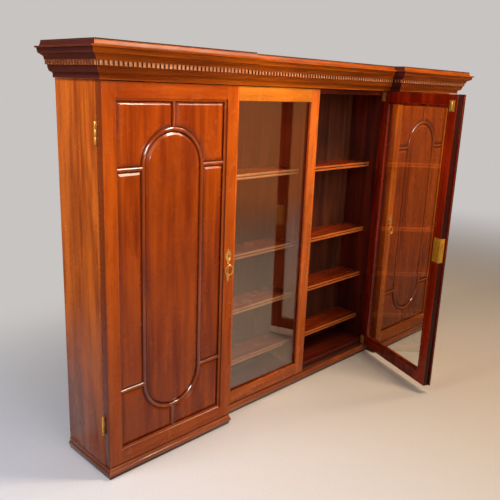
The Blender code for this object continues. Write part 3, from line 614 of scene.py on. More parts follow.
@dataclass(frozen=True)
class Mahogany:
    """Polished mahogany: stripes, pores and patina, hollows darkened by painted shade and old polish,
    arrises paled by wear and painted highlight.
    """

    name: str
    grain: Grain = Grain.UPRIGHT
    wood: Palette = stripes(196, 88, 10, 158, 58, 5)
    # Painted light: a paler palette for a glazed door's top rail.
    lit_top_rail: Palette | None = None
    behind: Palette | None = None
    # Painted highlight: a paler palette for faces that look forwards.
    ahead: Palette | None = None
    outside: Palette | None = None
    outside_before: float = 0.0
    outside_fade: float = 0.001
    seed: float = 0.0
    polish: float = 0.20
    coat: float = 0.16
    coat_rough: float = 0.07
    shine: float = 0.16
    opening: Opening | None = None
    turned: bool = False
    # Painted shade, with the old polish that gathers there, on the sheet that a panel's fields rise
    # from.
    floor: float | None = None
    sheet_shade_fade: Point = (0.0006, 0.0001)
    sheet_shade_share: float = 0.8
    figure_scale: float = 13.0
    ribbon_scale: float = 70.0
    pore_scale: float = 620.0
    patina_scale: float = 3.1
    haze_scale: float = 14.0
    stretch: float = 0.055
    pore_depth: float = 0.00008
    pore_stain: float = 0.30
    joint_width: float = 0.0005
    hollow_reach: float = 0.010
    arris_reach: float = 0.0016
    back_range: Point = (0.05, 0.25)
    ahead_range: Point = (-0.6, -0.2)
    figure_range: Point = (0.34, 0.66)
    pore_range: Point = (0.56, 0.70)
    patina_range: Point = (0.35, 0.70)
    patina_shade: float = 0.80
    shade_levels: Point = (-0.2, 1.0)
    haze_range: Point = (0.3, 0.7)
    haze: float = 0.10
    hollow_range: Point = (0.25, 0.85)
    hollow_share: float = 0.85
    arris_range: Point = (0.45, 0.85)
    arris_share: float = 0.5
    joint_share: float = 0.6
    # Dark tone of the pores and joints, also used for painted shade in hollows, on a panel's sheet
    # and at the plinth's foot.
    stain: Colour = colour(46, 9, 2)
    # Pale tone of the arrises: wear together with a painted highlight.
    rubbed_and_highlight: Colour = colour(232, 140, 62)
    # Painted shade: faces that look sideways are mixed towards a darker tone.
    side_shade_tone: Colour = colour(86, 26, 14)
    side_shade_share: float = 0.0
    # Painted shade: the wood darkens towards the bottom, down to this share.
    foot_shade: float = 0.54
    # Painted shadow: the plinth's foot is darkened below this height.
    foot_shadow_height: float = 0.0
    foot_shadow_fade: float = 0.002
    foot_shadow_share: float = 0.9

    def figure(self, graph: Surface, vector: object, grain: Grain) -> tuple[Socket, Socket]:
        """Makes the stripes and the pores along one way.

        Args:
            graph: The material's nodes.
            vector: The coordinates.
            grain: The way the fibres run.

        Returns:
            The figure and the pores, each from 0 to 1.
        """
        along = {Grain.UPRIGHT: 2, Grain.LEVEL: 0, Grain.DEEP: 1}[grain]
        shift = (self.seed * 1.7, self.seed * 0.9, self.seed * 2.3)
        size = [1.0, 1.0, 1.0]
        size[along] = self.stretch
        fine = graph.moved(vector, shift, (0, 0, 0), size)
        size[along] = self.stretch * 2.4
        broad = graph.moved(vector, shift, (0, 0, 0), size)
        cloud = graph.noise(broad, self.figure_scale, 3.0, 0.5, 1.3)
        ribbon = graph.noise(fine, self.ribbon_scale, 4.0, 0.6, 0.25)
        pores = graph.noise(fine, self.pore_scale, 2.0, 0.6)
        figure = graph.math("ADD", graph.times(cloud, 0.55), graph.times(ribbon, 0.45))
        return graph.span(figure, *self.figure_range), graph.span(pores, *self.pore_range)

    def figures(self, graph: Surface, vector: object, share: object, first: Grain,
                second: Grain) -> tuple[Socket, Socket]:
        """Lets the fibres run one way where the share is 0 and another where it is 1.

        Args:
            graph: The material's nodes.
            vector: The coordinates.
            share: The share.
            first: The first way.
            second: The second way.

        Returns:
            The figure and the pores.
        """
        ways = zip(self.figure(graph, vector, first), self.figure(graph, vector, second))
        figure, pores = (graph.chosen(share, *way) for way in ways)
        return figure, pores

    def facing(self, graph: Surface) -> tuple[Socket, Socket, Socket]:
        """Finds which way the faces look, in the shut door's own directions.

        Args:
            graph: The material's nodes.

        Returns:
            Three sockets that are 1 on faces that look sideways, backwards and forwards.
        """
        normal = graph.node("TexCoord").outputs["Normal"]
        if self.turned:
            normal = graph.moved(normal, (0, 0, 0), (0, 0, OpenDoor.angle), (1, 1, 1), "TEXTURE")
        across, along, _ = graph.parts(normal)
        sideways = graph.math("GREATER_THAN", graph.math("ABSOLUTE", across),
                              graph.math("ABSOLUTE", along))
        ahead = graph.span(along, *self.ahead_range, 1.0, 0.0)
        return sideways, graph.span(along, *self.back_range), ahead

    def rails(self, graph: Surface, x: Socket, z: Socket) -> tuple[Socket, Socket, Socket]:
        """Finds the rails of a frame and the joints at their ends.

        Args:
            graph: The material's nodes.
            x: The place across.
            z: The height.

        Returns:
            Three sockets that are 1 on the rails, on the top rail, and on the joints.
        """
        opening = self.opening
        within = graph.times(graph.math("GREATER_THAN", x, opening.left),
                             graph.math("LESS_THAN", x, opening.right))
        above = graph.math("GREATER_THAN", z, opening.top)
        level = graph.math("MAXIMUM", above, graph.math("LESS_THAN", z, opening.bottom))
        lines = []
        for edge in (opening.left, opening.right):
            distance = graph.math("ABSOLUTE", graph.math("SUBTRACT", x, edge))
            lines.append(graph.span(distance, 0.0, self.joint_width, 1.0, 0.0))
        joint = graph.times(graph.math("MAXIMUM", *lines), level)
        return graph.times(within, level), graph.times(within, above), joint

    def build(self) -> bpy.types.Material:
        """Makes the material.

        Returns:
            The material.
        """
        graph = Surface(self.name)
        vector = graph.at
        if self.turned:
            vector = graph.moved(vector, OpenDoor.pivot, (0, 0, OpenDoor.angle), (1, 1, 1), "TEXTURE")
        x, y, z = graph.parts(vector)
        sideways, backwards, forwards = self.facing(graph)
        top = joint = outer = None
        if self.grain is Grain.FRAME:
            rail, top, joint = self.rails(graph, x, z)
            figure, pores = self.figures(graph, vector, rail, Grain.UPRIGHT, Grain.LEVEL)
        elif self.grain is Grain.RUN:
            figure, pores = self.figures(graph, vector, sideways, Grain.LEVEL, Grain.DEEP)
        else:
            figure, pores = self.figure(graph, vector, self.grain)
        if self.outside:
            outer = graph.span(y, self.outside_before - self.outside_fade, self.outside_before,
                               1.0, 0.0)
        wood = graph.mix(figure, self.wood.deep, self.wood.pale)
        # The top rail's and the front faces' palettes are painted light; the back faces' palette is
        # the wood's own darker tone.
        for share, palette in ((top, self.lit_top_rail), (backwards, self.behind),
                               (forwards, self.ahead), (outer, self.outside)):
            if palette:
                wood = graph.mix(share, wood, graph.mix(figure, palette.deep, palette.pale))
        # Painted shade on the faces that look sideways.
        if self.side_shade_share:
            wood = graph.mix(graph.times(sideways, self.side_shade_share), wood, self.side_shade_tone)
        cloud = graph.noise(vector, self.patina_scale, 2.0, 0.5, 0.4)
        patina = graph.span(cloud, *self.patina_range, 1.0, self.patina_shade)
        # The patina's cloud times painted shade that darkens towards the bottom.
        shade = graph.times(patina, graph.span(z, *self.shade_levels, self.foot_shade, 1.0))
        wood = graph.mix(1.0, wood, shade, "MULTIPLY")
        wood = graph.mix(graph.times(pores, self.pore_stain), wood, self.stain)
        wood = self.shade_and_wear(graph, wood)
        for stain_and_shade_masks in self.stain_and_shade_masks(graph, y, z, joint):
            wood = graph.mix(stain_and_shade_masks, wood, self.stain)
        haze = graph.noise(vector, self.haze_scale, 3.0, 0.6)
        graph.looks(Base_Color=wood, Coat_Weight=self.coat, Coat_Roughness=self.coat_rough,
                    Roughness=graph.span(haze, *self.haze_range, self.polish,
                                         self.polish + self.haze),
                    Specular_IOR_Level=self.shine)
        relief = graph.math("SUBTRACT", 1.0, graph.times(pores, 0.6))
        if joint is not None:
            relief = graph.math("SUBTRACT", relief, graph.times(joint, 2.0))
        graph.relief(relief, self.pore_depth, 0.4)
        return graph.material

    def shade_and_wear(self, graph: Surface, wood: Socket) -> Socket:
        """Darkens the hollows with painted shade and the old polish that gathers there, and pales the
        arrises with wear and a painted highlight.

        Args:
            graph: The material's nodes.
            wood: The wood's colour.

        Returns:
            The new colour.
        """
        dark = graph.span(graph.openness(self.hollow_reach), *self.hollow_range,
                          self.hollow_share, 0.0)
        light = graph.span(graph.openness(self.arris_reach, True), *self.arris_range,
                           self.arris_share, 0.0)
        return graph.mix(light, graph.mix(dark, wood, self.stain), self.rubbed_and_highlight)

    def stain_and_shade_masks(self, graph: Surface, y: Socket, z: Socket, joint: Socket | None) -> list[Socket]:
        """Finds where the wood is darkened by painted shade and by real dark joints.

        Args:
            graph: The material's nodes.
            y: The place from front to back.
            z: The height.
            joint: What is 1 on a frame's joints.

        Returns:
            The painted shadow on the foot, the painted shade and old polish on the sheet that a
            panel's fields rise from, and the dark joints, as far as the piece has them.
        """
        stains = []
        if self.foot_shadow_height:
            stains.append(graph.span(z, self.foot_shadow_height - self.foot_shadow_fade, self.foot_shadow_height,
                                     self.foot_shadow_share, 0.0))
        if self.floor is not None:
            near, far = (self.floor - reach for reach in self.sheet_shade_fade)
            stains.append(graph.span(y, near, far, 0.0, self.sheet_shade_share))
        if joint is not None:
            stains.append(graph.times(joint, self.joint_share))
        return stains


@dataclass(frozen=True)
class Brass:
    """Lacquered brass, browned in its hollows by its own oxide and by painted shade, and paled on its
    arrises by wear and a painted highlight.
    """

    name: str = "brass"
    tones: Palette = stripes(224, 168, 84, 116, 74, 20)
    rubbed_and_highlight: Colour = colour(255, 228, 190)
    tarnish_and_shade: Colour = colour(44, 22, 6)
    metal: float = 0.5
    browned: float = 0.85
    rough: float = 0.20
    hollow_reach: float = 0.004
    arris_reach: float = 0.0009
    stain_scale: float = 60.0
    stain_range: Point = (0.42, 0.72)
    rough_range: Point = (0.35, 0.70)
    rough_gain: float = 0.16
    hollow_range: Point = (0.3, 0.9)
    hollow_share: float = 0.9
    arris_range: Point = (0.4, 0.8)
    arris_share: float = 0.7
    grit_scale: float = 700.0
    grit_depth: float = 0.00003

    def build(self) -> bpy.types.Material:
        """Makes the material.

        Returns:
            The material.
        """
        graph = Surface(self.name)
        stain = graph.noise(graph.at, self.stain_scale, 4.0, 0.6)
        brown = graph.span(stain, *self.stain_range, 0.0, self.browned)
        tone = graph.mix(brown, self.tones.pale, self.tones.deep)
        # Painted shade together with oxide in the hollows, and a painted highlight together with wear
        # on the arrises.
        hollow = graph.span(graph.openness(self.hollow_reach), *self.hollow_range,
                            self.hollow_share, 0.0)
        arris = graph.span(graph.openness(self.arris_reach, True), *self.arris_range,
                           self.arris_share, 0.0)
        tone = graph.mix(arris, graph.mix(hollow, tone, self.tarnish_and_shade), self.rubbed_and_highlight)
        graph.looks(Base_Color=tone, Metallic=self.metal,
                    Roughness=graph.span(stain, *self.rough_range, self.rough,
                                         self.rough + self.rough_gain))
        graph.relief(graph.noise(graph.at, self.grit_scale, 2.0, 0.5), self.grit_depth, 0.4)
        return graph.material


@dataclass(frozen=True)
class Pane:
    """Clear sheet glass: mostly see-through, mirroring more where it is seen aslant."""

    name: str = "pane"
    tint: Colour = colour(244, 247, 245)
    gleam: Colour = colour(250, 236, 232)
    mirror: float = 0.14
    fall: float = 5.0
    wave_scale: float = 5.0
    wave_depth: float = 0.0006

    def build(self) -> bpy.types.Material:
        """Makes the material.

        Returns:
            The material.
        """
        graph = Surface(self.name)
        graph.looks(Base_Color=self.gleam, Roughness=0.03, Metallic=1.0)
        graph.relief(graph.noise(graph.at, self.wave_scale, 1.0, 0.4), self.wave_depth, 0.25)
        aslant = graph.math("POWER", graph.node("LayerWeight").outputs["Facing"], self.fall)
        mirror = graph.math("ADD", graph.times(aslant, 1 - self.mirror), self.mirror)
        clear = graph.node("BsdfTransparent", {0: self.tint}).outputs[0]
        graph.feed(graph.output, {"Surface": graph.blend(mirror, clear, graph.shader.outputs[0])})
        return graph.material


Finish = Mahogany | Brass | Pane


class OpenDoor:
    """Where the right glazed door hangs and how far it stands open."""

    pivot: Place = (0.435, -0.063, 0.0)
    angle: float = math.radians(68.0)

    @classmethod
    def swing(cls) -> Matrix:
        """Gives the move from shut to open."""
        there = Matrix.Translation(Vector(cls.pivot))
        return there @ Matrix.Rotation(cls.angle, 4, "Z") @ there.inverted()


@cache
def material_of(finish: Finish) -> bpy.types.Material:
    """Makes a finish's material, once."""
    return finish.build()


def dress(item: Item, body: str, slot: str, finish: Finish, *nodes: str) -> None:
    """Gives a piece its finish and its body, and hides the solids that it stands for.

    Args:
        item: The piece.
        body: The body that it rides on.
        slot: Not used.
        finish: Its finish.
        nodes: The solids that it replaces.
    """
    item.data.materials.clear()
    item.data.materials.append(material_of(finish))
    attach(item, body)
    if nodes:
        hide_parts(*nodes)
    log.info("%s rides on %s", item.name, body)


def redress(node: str, name: str, body: str, slot: str, finish: Finish,
            arris: float = ARRIS) -> None:
    """Dresses a solid with a copy of itself, whose arrises are eased.

    Args:
        node: The solid's name.
        name: The copy's name.
        body: The body that it rides on.
        slot: Its slot.
        finish: Its finish.
        arris: How wide its arrises get.
    """
    item = Bench.copy_of(node, name)
    Bench.ease(item, arris)
    dress(item, body, slot, finish, node)


def opening_of(node: str, width: float, turned: bool = False) -> Opening:
    """Finds a door frame's opening.

    Args:
        node: The frame's solid.
        width: How wide its stiles and rails are.
        turned: Whether the door stands open in the solids.

    Returns:
        The opening, for the shut door.
    """
    low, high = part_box(node)
    left, right = low.x, high.x
    if turned:
        shut = OpenDoor.swing().inverted()
        xs = [(shut @ vertex.co).x for vertex in frame["nodes"][node].data.vertices]
        left, right = min(xs), max(xs)
    return Opening(left + width, right - width, low.z + width, high.z - width)


@dataclass
class Carcass:
    """The case: its boards, shelves, plinth and cornice."""

    half_width: float = 0.915
    wing_inner: float = 0.445
    front: float = -0.114
    centre_front: float = -0.070
    back: float = 0.114
    cornice_bottom: float = 1.1263
    cornice_top: float = 1.220
    seat: float = 1.2075
    seat_out: float = 0.010
    spare: float = 0.20
    board_out: float = 0.0368
    board_bottom: float = 1.2166
    board_gap: float = 0.0003
    cornice_wall: float = 0.012
    well_inset: float = 0.045
    overlap: float = 0.010
    well_top: float = 0.020
    well_reach: float = 0.1
    cornice_arris: float = 0.0004
    plinth_wall: float = 0.014
    plinth_band: float = 0.0036
    plinth_arris: float = 0.0002
    string_core: float = 0.0150
    string_band: float = 0.0004
    lip: Turn = Turn(0.0550, 0.0778)
    lip_height: float = 0.0038
    cornice_under: tuple[Turn, ...] = (
        Turn(0.0490, 0.0731), Turn(0.0466, 0.0616), Turn(0.0440, 0.0600, Sweep.HOLLOW),
        Turn(0.0385, 0.0586), Turn(0.0385, 0.0569), Turn(0.0292, 0.0464, Sweep.HOLLOW),
        Turn(0.0292, 0.0448), Turn(0.0209, 0.0448), Turn(0.0209, 0.0288), Turn(0.0190, 0.0280),
        Turn(0.0190, 0.0246), Turn(0.0083, 0.0142, Sweep.ROUND), Turn(0.0083, 0.0127),
        Turn(0.0060, 0.0118), Turn(0.0060, 0.0),
    )
    cornice_over: tuple[Turn, ...] = (
        Turn(0.0410, 0.0789), Turn(0.0410, 0.0800), Turn(0.0373, 0.0884),
        Turn(0.0368, 0.0903, Sweep.ROUND),
    )
    string: Turn = Turn(0.0209, 0.0262)
    string_turns: tuple[tuple[Turn, ...], ...] = (
        (Turn(0.0186, 0.0246, Sweep.ROUND),), (Turn(0.0186, 0.0284, Sweep.ROUND),),
    )
    plinth_widest: Turn = Turn(0.0060, 0.0150)
    plinth_under: tuple[Turn, ...] = (
        Turn(0.0052, 0.0112, Sweep.ROUND), Turn(0.0018, 0.0084), Turn(0.0018, 0.0),
    )
    plinth_over: tuple[Turn, ...] = (
        Turn(0.0034, 0.0222, Sweep.ROUND), Turn(0.0022, 0.0230), Turn(0.0022, 0.0246),
        Turn(0.0018, 0.0290), Turn(0.0018, 0.0303), Turn(0.0003, 0.0330),
    )

    def plan(self, name: str, out: float, low: float, high: float,
             back_out: float) -> Item:
        """Makes a block on the breakfront plan.

        Args:
            name: The new object's name.
            out: How far it stands out past the case.
            low: Its bottom.
            high: Its top.
            back_out: How far it goes past the back.

        Returns:
            The block.
        """
        bpy.ops.object.select_all(action="DESELECT")
        outer, step = self.half_width + out, self.wing_inner - out
        front, rear = self.centre_front - out, self.back + back_out
        bpy.ops.mesh.primitive_plane_add(size=1.0, location=(0, (front + rear) / 2, low))
        item = Bench.settle(name)
        with Bench.shaping(item):
            Bench.whole()
            Bench.scale((2 * outer, rear - front, 1), (0, (front + rear) / 2, low))
            for x in (-step, step):
                Bench.whole()
                bpy.ops.mesh.bisect(plane_co=(x, 0, 0), plane_no=(1, 0, 0))
            bpy.ops.mesh.select_mode(type="EDGE")
            Bench.pick(item, lambda edge: all(abs(v.co.y - front) < TINY for v in edge.verts)
                       and abs(edge.verts[0].co.x + edge.verts[1].co.x) > step)
            Bench.push((0, self.front - self.centre_front, 0))
            bpy.ops.mesh.select_mode(type="FACE")
            Bench.whole()
            bpy.ops.mesh.dissolve_faces()
            Bench.whole()
            bpy.ops.mesh.dissolve_limited(angle_limit=FLAT)
            Bench.whole()
            Bench.push((0, 0, high - low))
            Bench.outwards()
        return item

    def moulded(self, name: str, base: float, widest: Turn, under: Sequence[Turn],
                over: Sequence[Turn], depth: float) -> Item:
        """Makes a moulding that runs round the breakfront plan.

        Args:
            name: The new object's name.
            base: The level that the profile is measured from.
            widest: The profile's outermost point, where the block starts.
            under: The profile from there down.
            over: The profile from there up.
            depth: How high the first block is.

        Returns:
            The moulding as a solid block, sawn flush at the back.
        """
        high = base + widest.up
        item = self.plan(name, widest.out, high - depth, high, self.spare)
        with Bench.shaping(item):
            Bench.pick(item, lambda face: face.normal.z < -0.9)
            Bench.carry(trace(Turn(widest.out, widest.up - depth), under), (0, 0, -1))
            Bench.pick(item, lambda face: face.normal.z > 0.9)
            Bench.carry(trace(widest, over), (0, 0, 1))
        Bench.trim(item, (0, self.back, 0), (0, 1, 0))
        return item

    def cornice(self) -> Item:
        """Makes the cornice, hollow and open at the back as the real one is.

        Returns:
            The cornice.
        """
        base = self.cornice_bottom
        item = self.moulded("cornice", base, self.lip, self.cornice_under, self.cornice_over,
                            self.lip_height)
        for name, out, low, high in (
                ("rebate", self.seat_out, self.seat, base + self.spare),
                ("hollow", -self.cornice_wall, base + self.cornice_wall, self.seat + self.overlap),
                ("well", -self.well_inset, base - self.well_reach, base + self.well_top)):
            Bench.cut(item, self.plan(name, out, low, high, self.spare))
        string = self.moulded("string", base, self.string, *self.string_turns, self.string_band)
        Bench.cut(string, self.plan("middle", self.string_core, base, self.cornice_top,
                                    self.spare))
        Bench.cut(item, string, "UNION")
        Bench.trim(item, (0, self.back, 0), (0, 1, 0))
        Bench.tidy(item)
        Bench.ease(item, self.cornice_arris, angle=50, smooth=15)
        return item

    def top_board(self) -> Item:
        """Makes the dust board, whose thin dark edge shows over the cornice.

        Returns:
            The board.
        """
        item = self.plan("dust_board", self.board_out, self.board_bottom, self.cornice_top,
                         self.spare)
        with Bench.shaping(item):
            Bench.pick(item, lambda face: face.normal.z < -0.9)
            inner = self.seat_out - self.board_gap
            Bench.carry(((self.board_out, self.board_bottom), (inner, self.board_bottom),
                         (inner, self.seat + self.board_gap)), (0, 0, -1))
        Bench.trim(item, (0, self.back, 0), (0, 1, 0))
        Bench.ease(item, FINE_ARRIS)
        return item

    def plinth(self) -> Item:
        """Makes the plinth: an ovolo over a sunk foot.

        Returns:
            The plinth.
        """
        item = self.moulded("plinth", 0.0, self.plinth_widest, self.plinth_under,
                            self.plinth_over, self.plinth_band)
        Bench.cut(item, self.plan("well", -self.plinth_wall, -self.well_reach, self.well_reach,
                                  self.spare))
        Bench.tidy(item)
        Bench.ease(item, self.plinth_arris, angle=50)
        return item

    def build(self) -> None:
        """Makes and dresses everything that stands still."""
        # The cornice's returns get painted shade: faces that look sideways are mixed towards a dark
        # purple.
        run = Mahogany("run_mahogany", Grain.RUN, stripes(182, 84, 4, 116, 42, 0), seed=3.0,
                       coat=0.0, polish=0.30, shine=0.08, side_shade_share=0.92,
                       side_shade_tone=colour(60, 22, 32))
        # The plinth gets a painted shadow on its sunk foot and painted shade on its returns.
        foot = Mahogany("plinth_mahogany", Grain.RUN, stripes(200, 100, 40, 144, 60, 18),
                        seed=12.0, side_shade_share=0.6, side_shade_tone=colour(84, 30, 24), polish=0.14,
                        coat=0.6, foot_shadow_height=0.0125, pore_depth=0.00001)
        plain = Mahogany("unpolished_wood", Grain.LEVEL, stripes(58, 30, 24, 34, 17, 14), seed=9.0,
                         polish=0.6, coat=0.0)
        # The dentils get a painted highlight on their fronts, painted shade on their sides and deeper
        # painted shade in their gaps.
        blocks = Mahogany("dentil_mahogany", Grain.RUN, stripes(168, 86, 42, 120, 50, 18), seed=4.0,
                          ahead=stripes(232, 156, 108, 196, 116, 72), hollow_reach=0.016,
                          side_shade_share=0.7, side_shade_tone=colour(78, 24, 20))
        dress(self.cornice(), CARCASS, "mahogany", run, "cornice_moulding")
        dress(self.plinth(), CARCASS, "mahogany", foot, "plinth_moulding")
        dress(self.top_board(), CARCASS, "dark_wood", plain, "cornice_top_board")
        redress("dentil_moulding", "dentils", CARCASS, "mahogany", blocks, self.cornice_arris)
        self.boards(plain)
        self.shelves()

    def boards(self, plain: Mahogany) -> None:
        """Dresses the boards.

        Args:
            plain: The finish of the boards that don't show.
        """
        shown = {"outside": Mahogany.wood, "outside_before": self.centre_front}
        # Painted shade on the partitions' inside faces and painted light on their fronts; faces in
        # front of the glazed doors keep the plain wood.
        inner = Mahogany("shaded_inner_mahogany", wood=stripes(112, 30, 8, 62, 12, 3), seed=8.0,
                         polish=0.34, ahead=stripes(150, 50, 10, 96, 24, 4), **shown)
        # Painted light: the centre partition gets a brighter palette, as it is lit through the glass.
        middle = Mahogany("lit_partition_mahogany", wood=stripes(226, 104, 36, 176, 62, 14), seed=8.5,
                          polish=0.3, **shown)
        floor = Mahogany("floor_mahogany", Grain.LEVEL, stripes(122, 36, 12, 70, 16, 5), seed=5.0,
                         polish=0.32)
        side = Mahogany("side_mahogany", wood=stripes(214, 106, 28, 142, 56, 14), seed=2.0,
                        figure_scale=16.0)
        back = Mahogany("back_wood", wood=stripes(98, 47, 22, 62, 26, 12), seed=11.0, polish=0.5,
                        coat=0.0)
        finishes = {"side_panel_left": side, "side_panel_right": side, "partition_left": inner,
                    "partition_right": inner, "partition_centre": middle, "top_board": floor,
                    "bottom_board": floor, "back_panel": back, "base_frame": plain,
                    "cornice_back_rail": plain}
        for node, finish in finishes.items():
            slot = "dark_wood" if finish in (back, plain) else "mahogany"
            redress(node, node + "_dressed", CARCASS, slot, finish)

    def shelves(self) -> None:
        """Dresses the shelves, of which the left bay's catch the light behind the glass."""
        # Painted highlight: the shelves' front edges get a paler palette, palest behind the left
        # glass.
        shelf = Mahogany("shelf_mahogany", Grain.LEVEL, stripes(160, 58, 16, 106, 30, 6), seed=6.0,
                         ahead=stripes(220, 122, 54, 180, 84, 28))
        lit = Mahogany("lit_shelf_mahogany", Grain.LEVEL, stripes(190, 84, 40, 140, 50, 18),
                       seed=6.0, ahead=stripes(255, 176, 120, 240, 136, 80))
        for node in sorted(frame["nodes"]):
            if node.startswith("shelf_"):
                finish = lit if node.startswith("shelf_left") else shelf
                redress(node, node + "_dressed", CARCASS, "mahogany", finish, 0.0)


@dataclass
class WingDoor:
    """A panelled door: frame, raised and fielded panel and bead network."""

    word: str
    stile: float = 0.047
    sheet_drop: float = 0.0125
    sheet_depth: float = 0.011
    lap: float = 0.0067
    bead_radius: float = 0.006
    bead_height: float = 0.0062
    quirk: float = 0.0022
    arch_radius: float = 0.104
    head_drop: float = 0.226
    foot_rise: float = 0.224
    slope: Turn = Turn(-0.0016, 0.0004)
    chamfer: Turn = Turn(-0.0074, 0.0038)
    shoulder: Turn = Turn(-0.0094, 0.0045)
    moulded_edge: float = 0.0062
    curve_sides: int = 96
    bead_sides: int = 24
    bar_share: float = 0.96

    def __post_init__(self) -> None:
        """Finds where the door hangs."""
        self.low, self.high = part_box(f"wing_door_{self.word}_frame")
        self.body = f"wing_door_{self.word}"
        self.middle = (self.low.x + self.high.x) / 2
        self.sheet = self.low.y + self.sheet_drop
        self.opening = opening_of(f"wing_door_{self.word}_frame", self.stile)
        self.head = self.high.z - self.head_drop
        self.foot = self.low.z + self.foot_rise
        self.turn = (math.pi / 2, math.pi / self.curve_sides, 0)
        self.flatness = (1, self.bead_height / self.bead_radius, 1)
        self.edge = trace(Turn(0.0, 0.0), (self.slope, self.chamfer, self.shoulder))

    def raised(self, item: Item) -> Item:
        """Raises a block's front face to a fielded panel with a chamfer round it.

        Args:
            item: The block.

        Returns:
            The block, shaped.
        """
        with Bench.shaping(item):
            Bench.pick(item, lambda face: face.normal.y < -0.99)
            Bench.carry(self.edge, (0, -1, 0))
        return item

    def field_block(self, name: str, left: float, right: float, bottom: float,
                    top: float) -> Item:
        """Makes the block that a field is raised from, standing on the panel's sheet."""
        return Bench.block(name, (left, self.sheet - SUNK, bottom),
                           (right, self.sheet + self.sheet_depth / 2, top))

    def lift(self, item: Item) -> None:
        """Draws a ring or disc at the foot out to a stadium that reaches the head."""
        Bench.pick(item, lambda corner: corner.co.z > self.foot)
        bpy.ops.transform.translate(value=(0, 0, self.head - self.foot))

    def stadium(self, name: str, radius: float) -> Item:
        """Makes an upright slab with half round ends.

        Args:
            name: The new object's name.
            radius: The ends' radius.

        Returns:
            The slab.
        """
        rear = self.sheet + self.sheet_depth / 2
        item = Bench.drum(name, (self.middle, (self.sheet - SUNK + rear) / 2, self.foot), radius,
                          rear - self.sheet + SUNK, self.turn, self.curve_sides)
        with Bench.shaping(item, "VERT"):
            self.lift(item)
        return item

    def flare(self, centre: float) -> Item:
        """Makes the tool that leaves a hollow chamfer round the arch.

        Args:
            centre: The level of the arch's centre.

        Returns:
            The tool: a drum that widens forwards.
        """
        radius, depth = self.arch_radius + self.bead_radius + self.quirk, 0.02
        tool = Bench.drum("flare", (self.middle, self.sheet + depth / 2 - SUNK, centre), radius,
                          depth, self.turn, self.curve_sides)
        middle = (self.middle, self.sheet, centre)
        with Bench.shaping(tool):
            Bench.pick(tool, lambda face: face.normal.y < -0.9)
            for (out, up), (next_out, next_up) in zip(self.edge, self.edge[1:]):
                Bench.push((0, up - next_up, 0))
                size = (radius - next_out) / (radius - out)
                Bench.scale((size, 1, size), middle)
            Bench.push((0, -depth, 0))
        return tool

    def corner(self, name: str, side: int, top: bool) -> Item:
        """Makes a corner field, whose inner corner follows the arch.

        Args:
            name: The new object's name.
            side: 1 for the right, -1 for the left.
            top: Whether it is over the arch or under it.

        Returns:
            The raised block.
        """
        room = self.bead_radius + self.quirk
        inner = self.middle + side * room
        outer = (self.opening.right if side > 0 else self.opening.left) - side * self.quirk
        if top:
            centre, near, far = self.head, self.head + room, self.opening.top - self.quirk
        else:
            centre, near, far = self.foot, self.foot - room, self.opening.bottom + self.quirk
        left, right = sorted((inner, outer))
        bottom, upper = sorted((near, far))
        item = self.raised(self.field_block(name, left, right, bottom, upper))
        Bench.cut(item, self.flare(centre))
        Bench.tidy(item)
        return item

    def panel(self) -> Item:
        """Makes the panel: a sheet with seven raised fields.

        Returns:
            The panel.
        """
        opening, room = self.opening, self.bead_radius + self.quirk
        item = Bench.block(f"wing_panel_{self.word}",
                           (opening.left - self.lap, self.sheet, opening.bottom - self.lap),
                           (opening.right + self.lap, self.sheet + self.sheet_depth,
                            opening.top + self.lap))
        fields = [self.raised(self.stadium("ring_field", self.arch_radius - room))]
        for side in (-1, 1):
            near = self.middle + side * (self.arch_radius + room)
            far = (opening.right if side > 0 else opening.left) - side * self.quirk
            left, right = sorted((near, far))
            fields.append(self.raised(self.field_block("side_field", left, right,
                                                       self.foot + room, self.head - room)))
            for top in (True, False):
                fields.append(self.corner("corner_field", side, top))
        for block in fields:
            Bench.cut(item, block, "UNION")
        Bench.tidy(item)
        Bench.ease(item, 0.0, smooth=9)
        return item

    def frame(self) -> Item:
        """Makes the door's frame, whose inner edge is rounded over.

        Returns:
            The frame.
        """
        item = Bench.copy_of(f"wing_door_{self.word}_frame", f"wing_frame_{self.word}")
        opening, spare = self.opening, self.moulded_edge / 2
        with Bench.shaping(item, "EDGE"):
            Bench.pick(item, lambda edge: all(
                abs(v.co.y - self.low.y) < spare and opening.left - spare < v.co.x < opening.right
                + spare and opening.bottom - spare < v.co.z < opening.top + spare
                for v in edge.verts) and abs(edge.calc_length()) > 10 * spare
                and edge.calc_face_angle(0) > math.radians(30))
            bpy.ops.mesh.bevel(offset=self.moulded_edge, segments=5, profile=0.5)
        Bench.ease(item, ARRIS)
        return item

    def beads(self) -> Item:
        """Makes the ring of half round bead and the six bars that tie it to the frame.

        Returns:
            The beads.
        """
        bpy.ops.object.select_all(action="DESELECT")
        centre = (self.middle, self.sheet, self.foot)
        bpy.ops.mesh.primitive_torus_add(
            location=centre, rotation=(math.pi / 2, 0, 0), major_segments=self.curve_sides,
            minor_segments=self.bead_sides, major_radius=self.arch_radius,
            minor_radius=self.bead_radius)
        ring = Bench.settle(f"wing_beads_{self.word}")
        with Bench.shaping(ring, "VERT"):
            Bench.whole()
            bpy.ops.transform.rotate(value=math.pi / self.curve_sides, orient_axis="Y",
                                     center_override=centre)
            Bench.scale(self.flatness, centre)
            self.lift(ring)
        for ends in self.bar_ends():
            Bench.cut(ring, self.bar(*ends), "UNION")
        Bench.trim(ring, (0, self.sheet, 0), (0, 1, 0))
        Bench.tidy(ring)
        Bench.ease(ring, 0.0)
        return ring

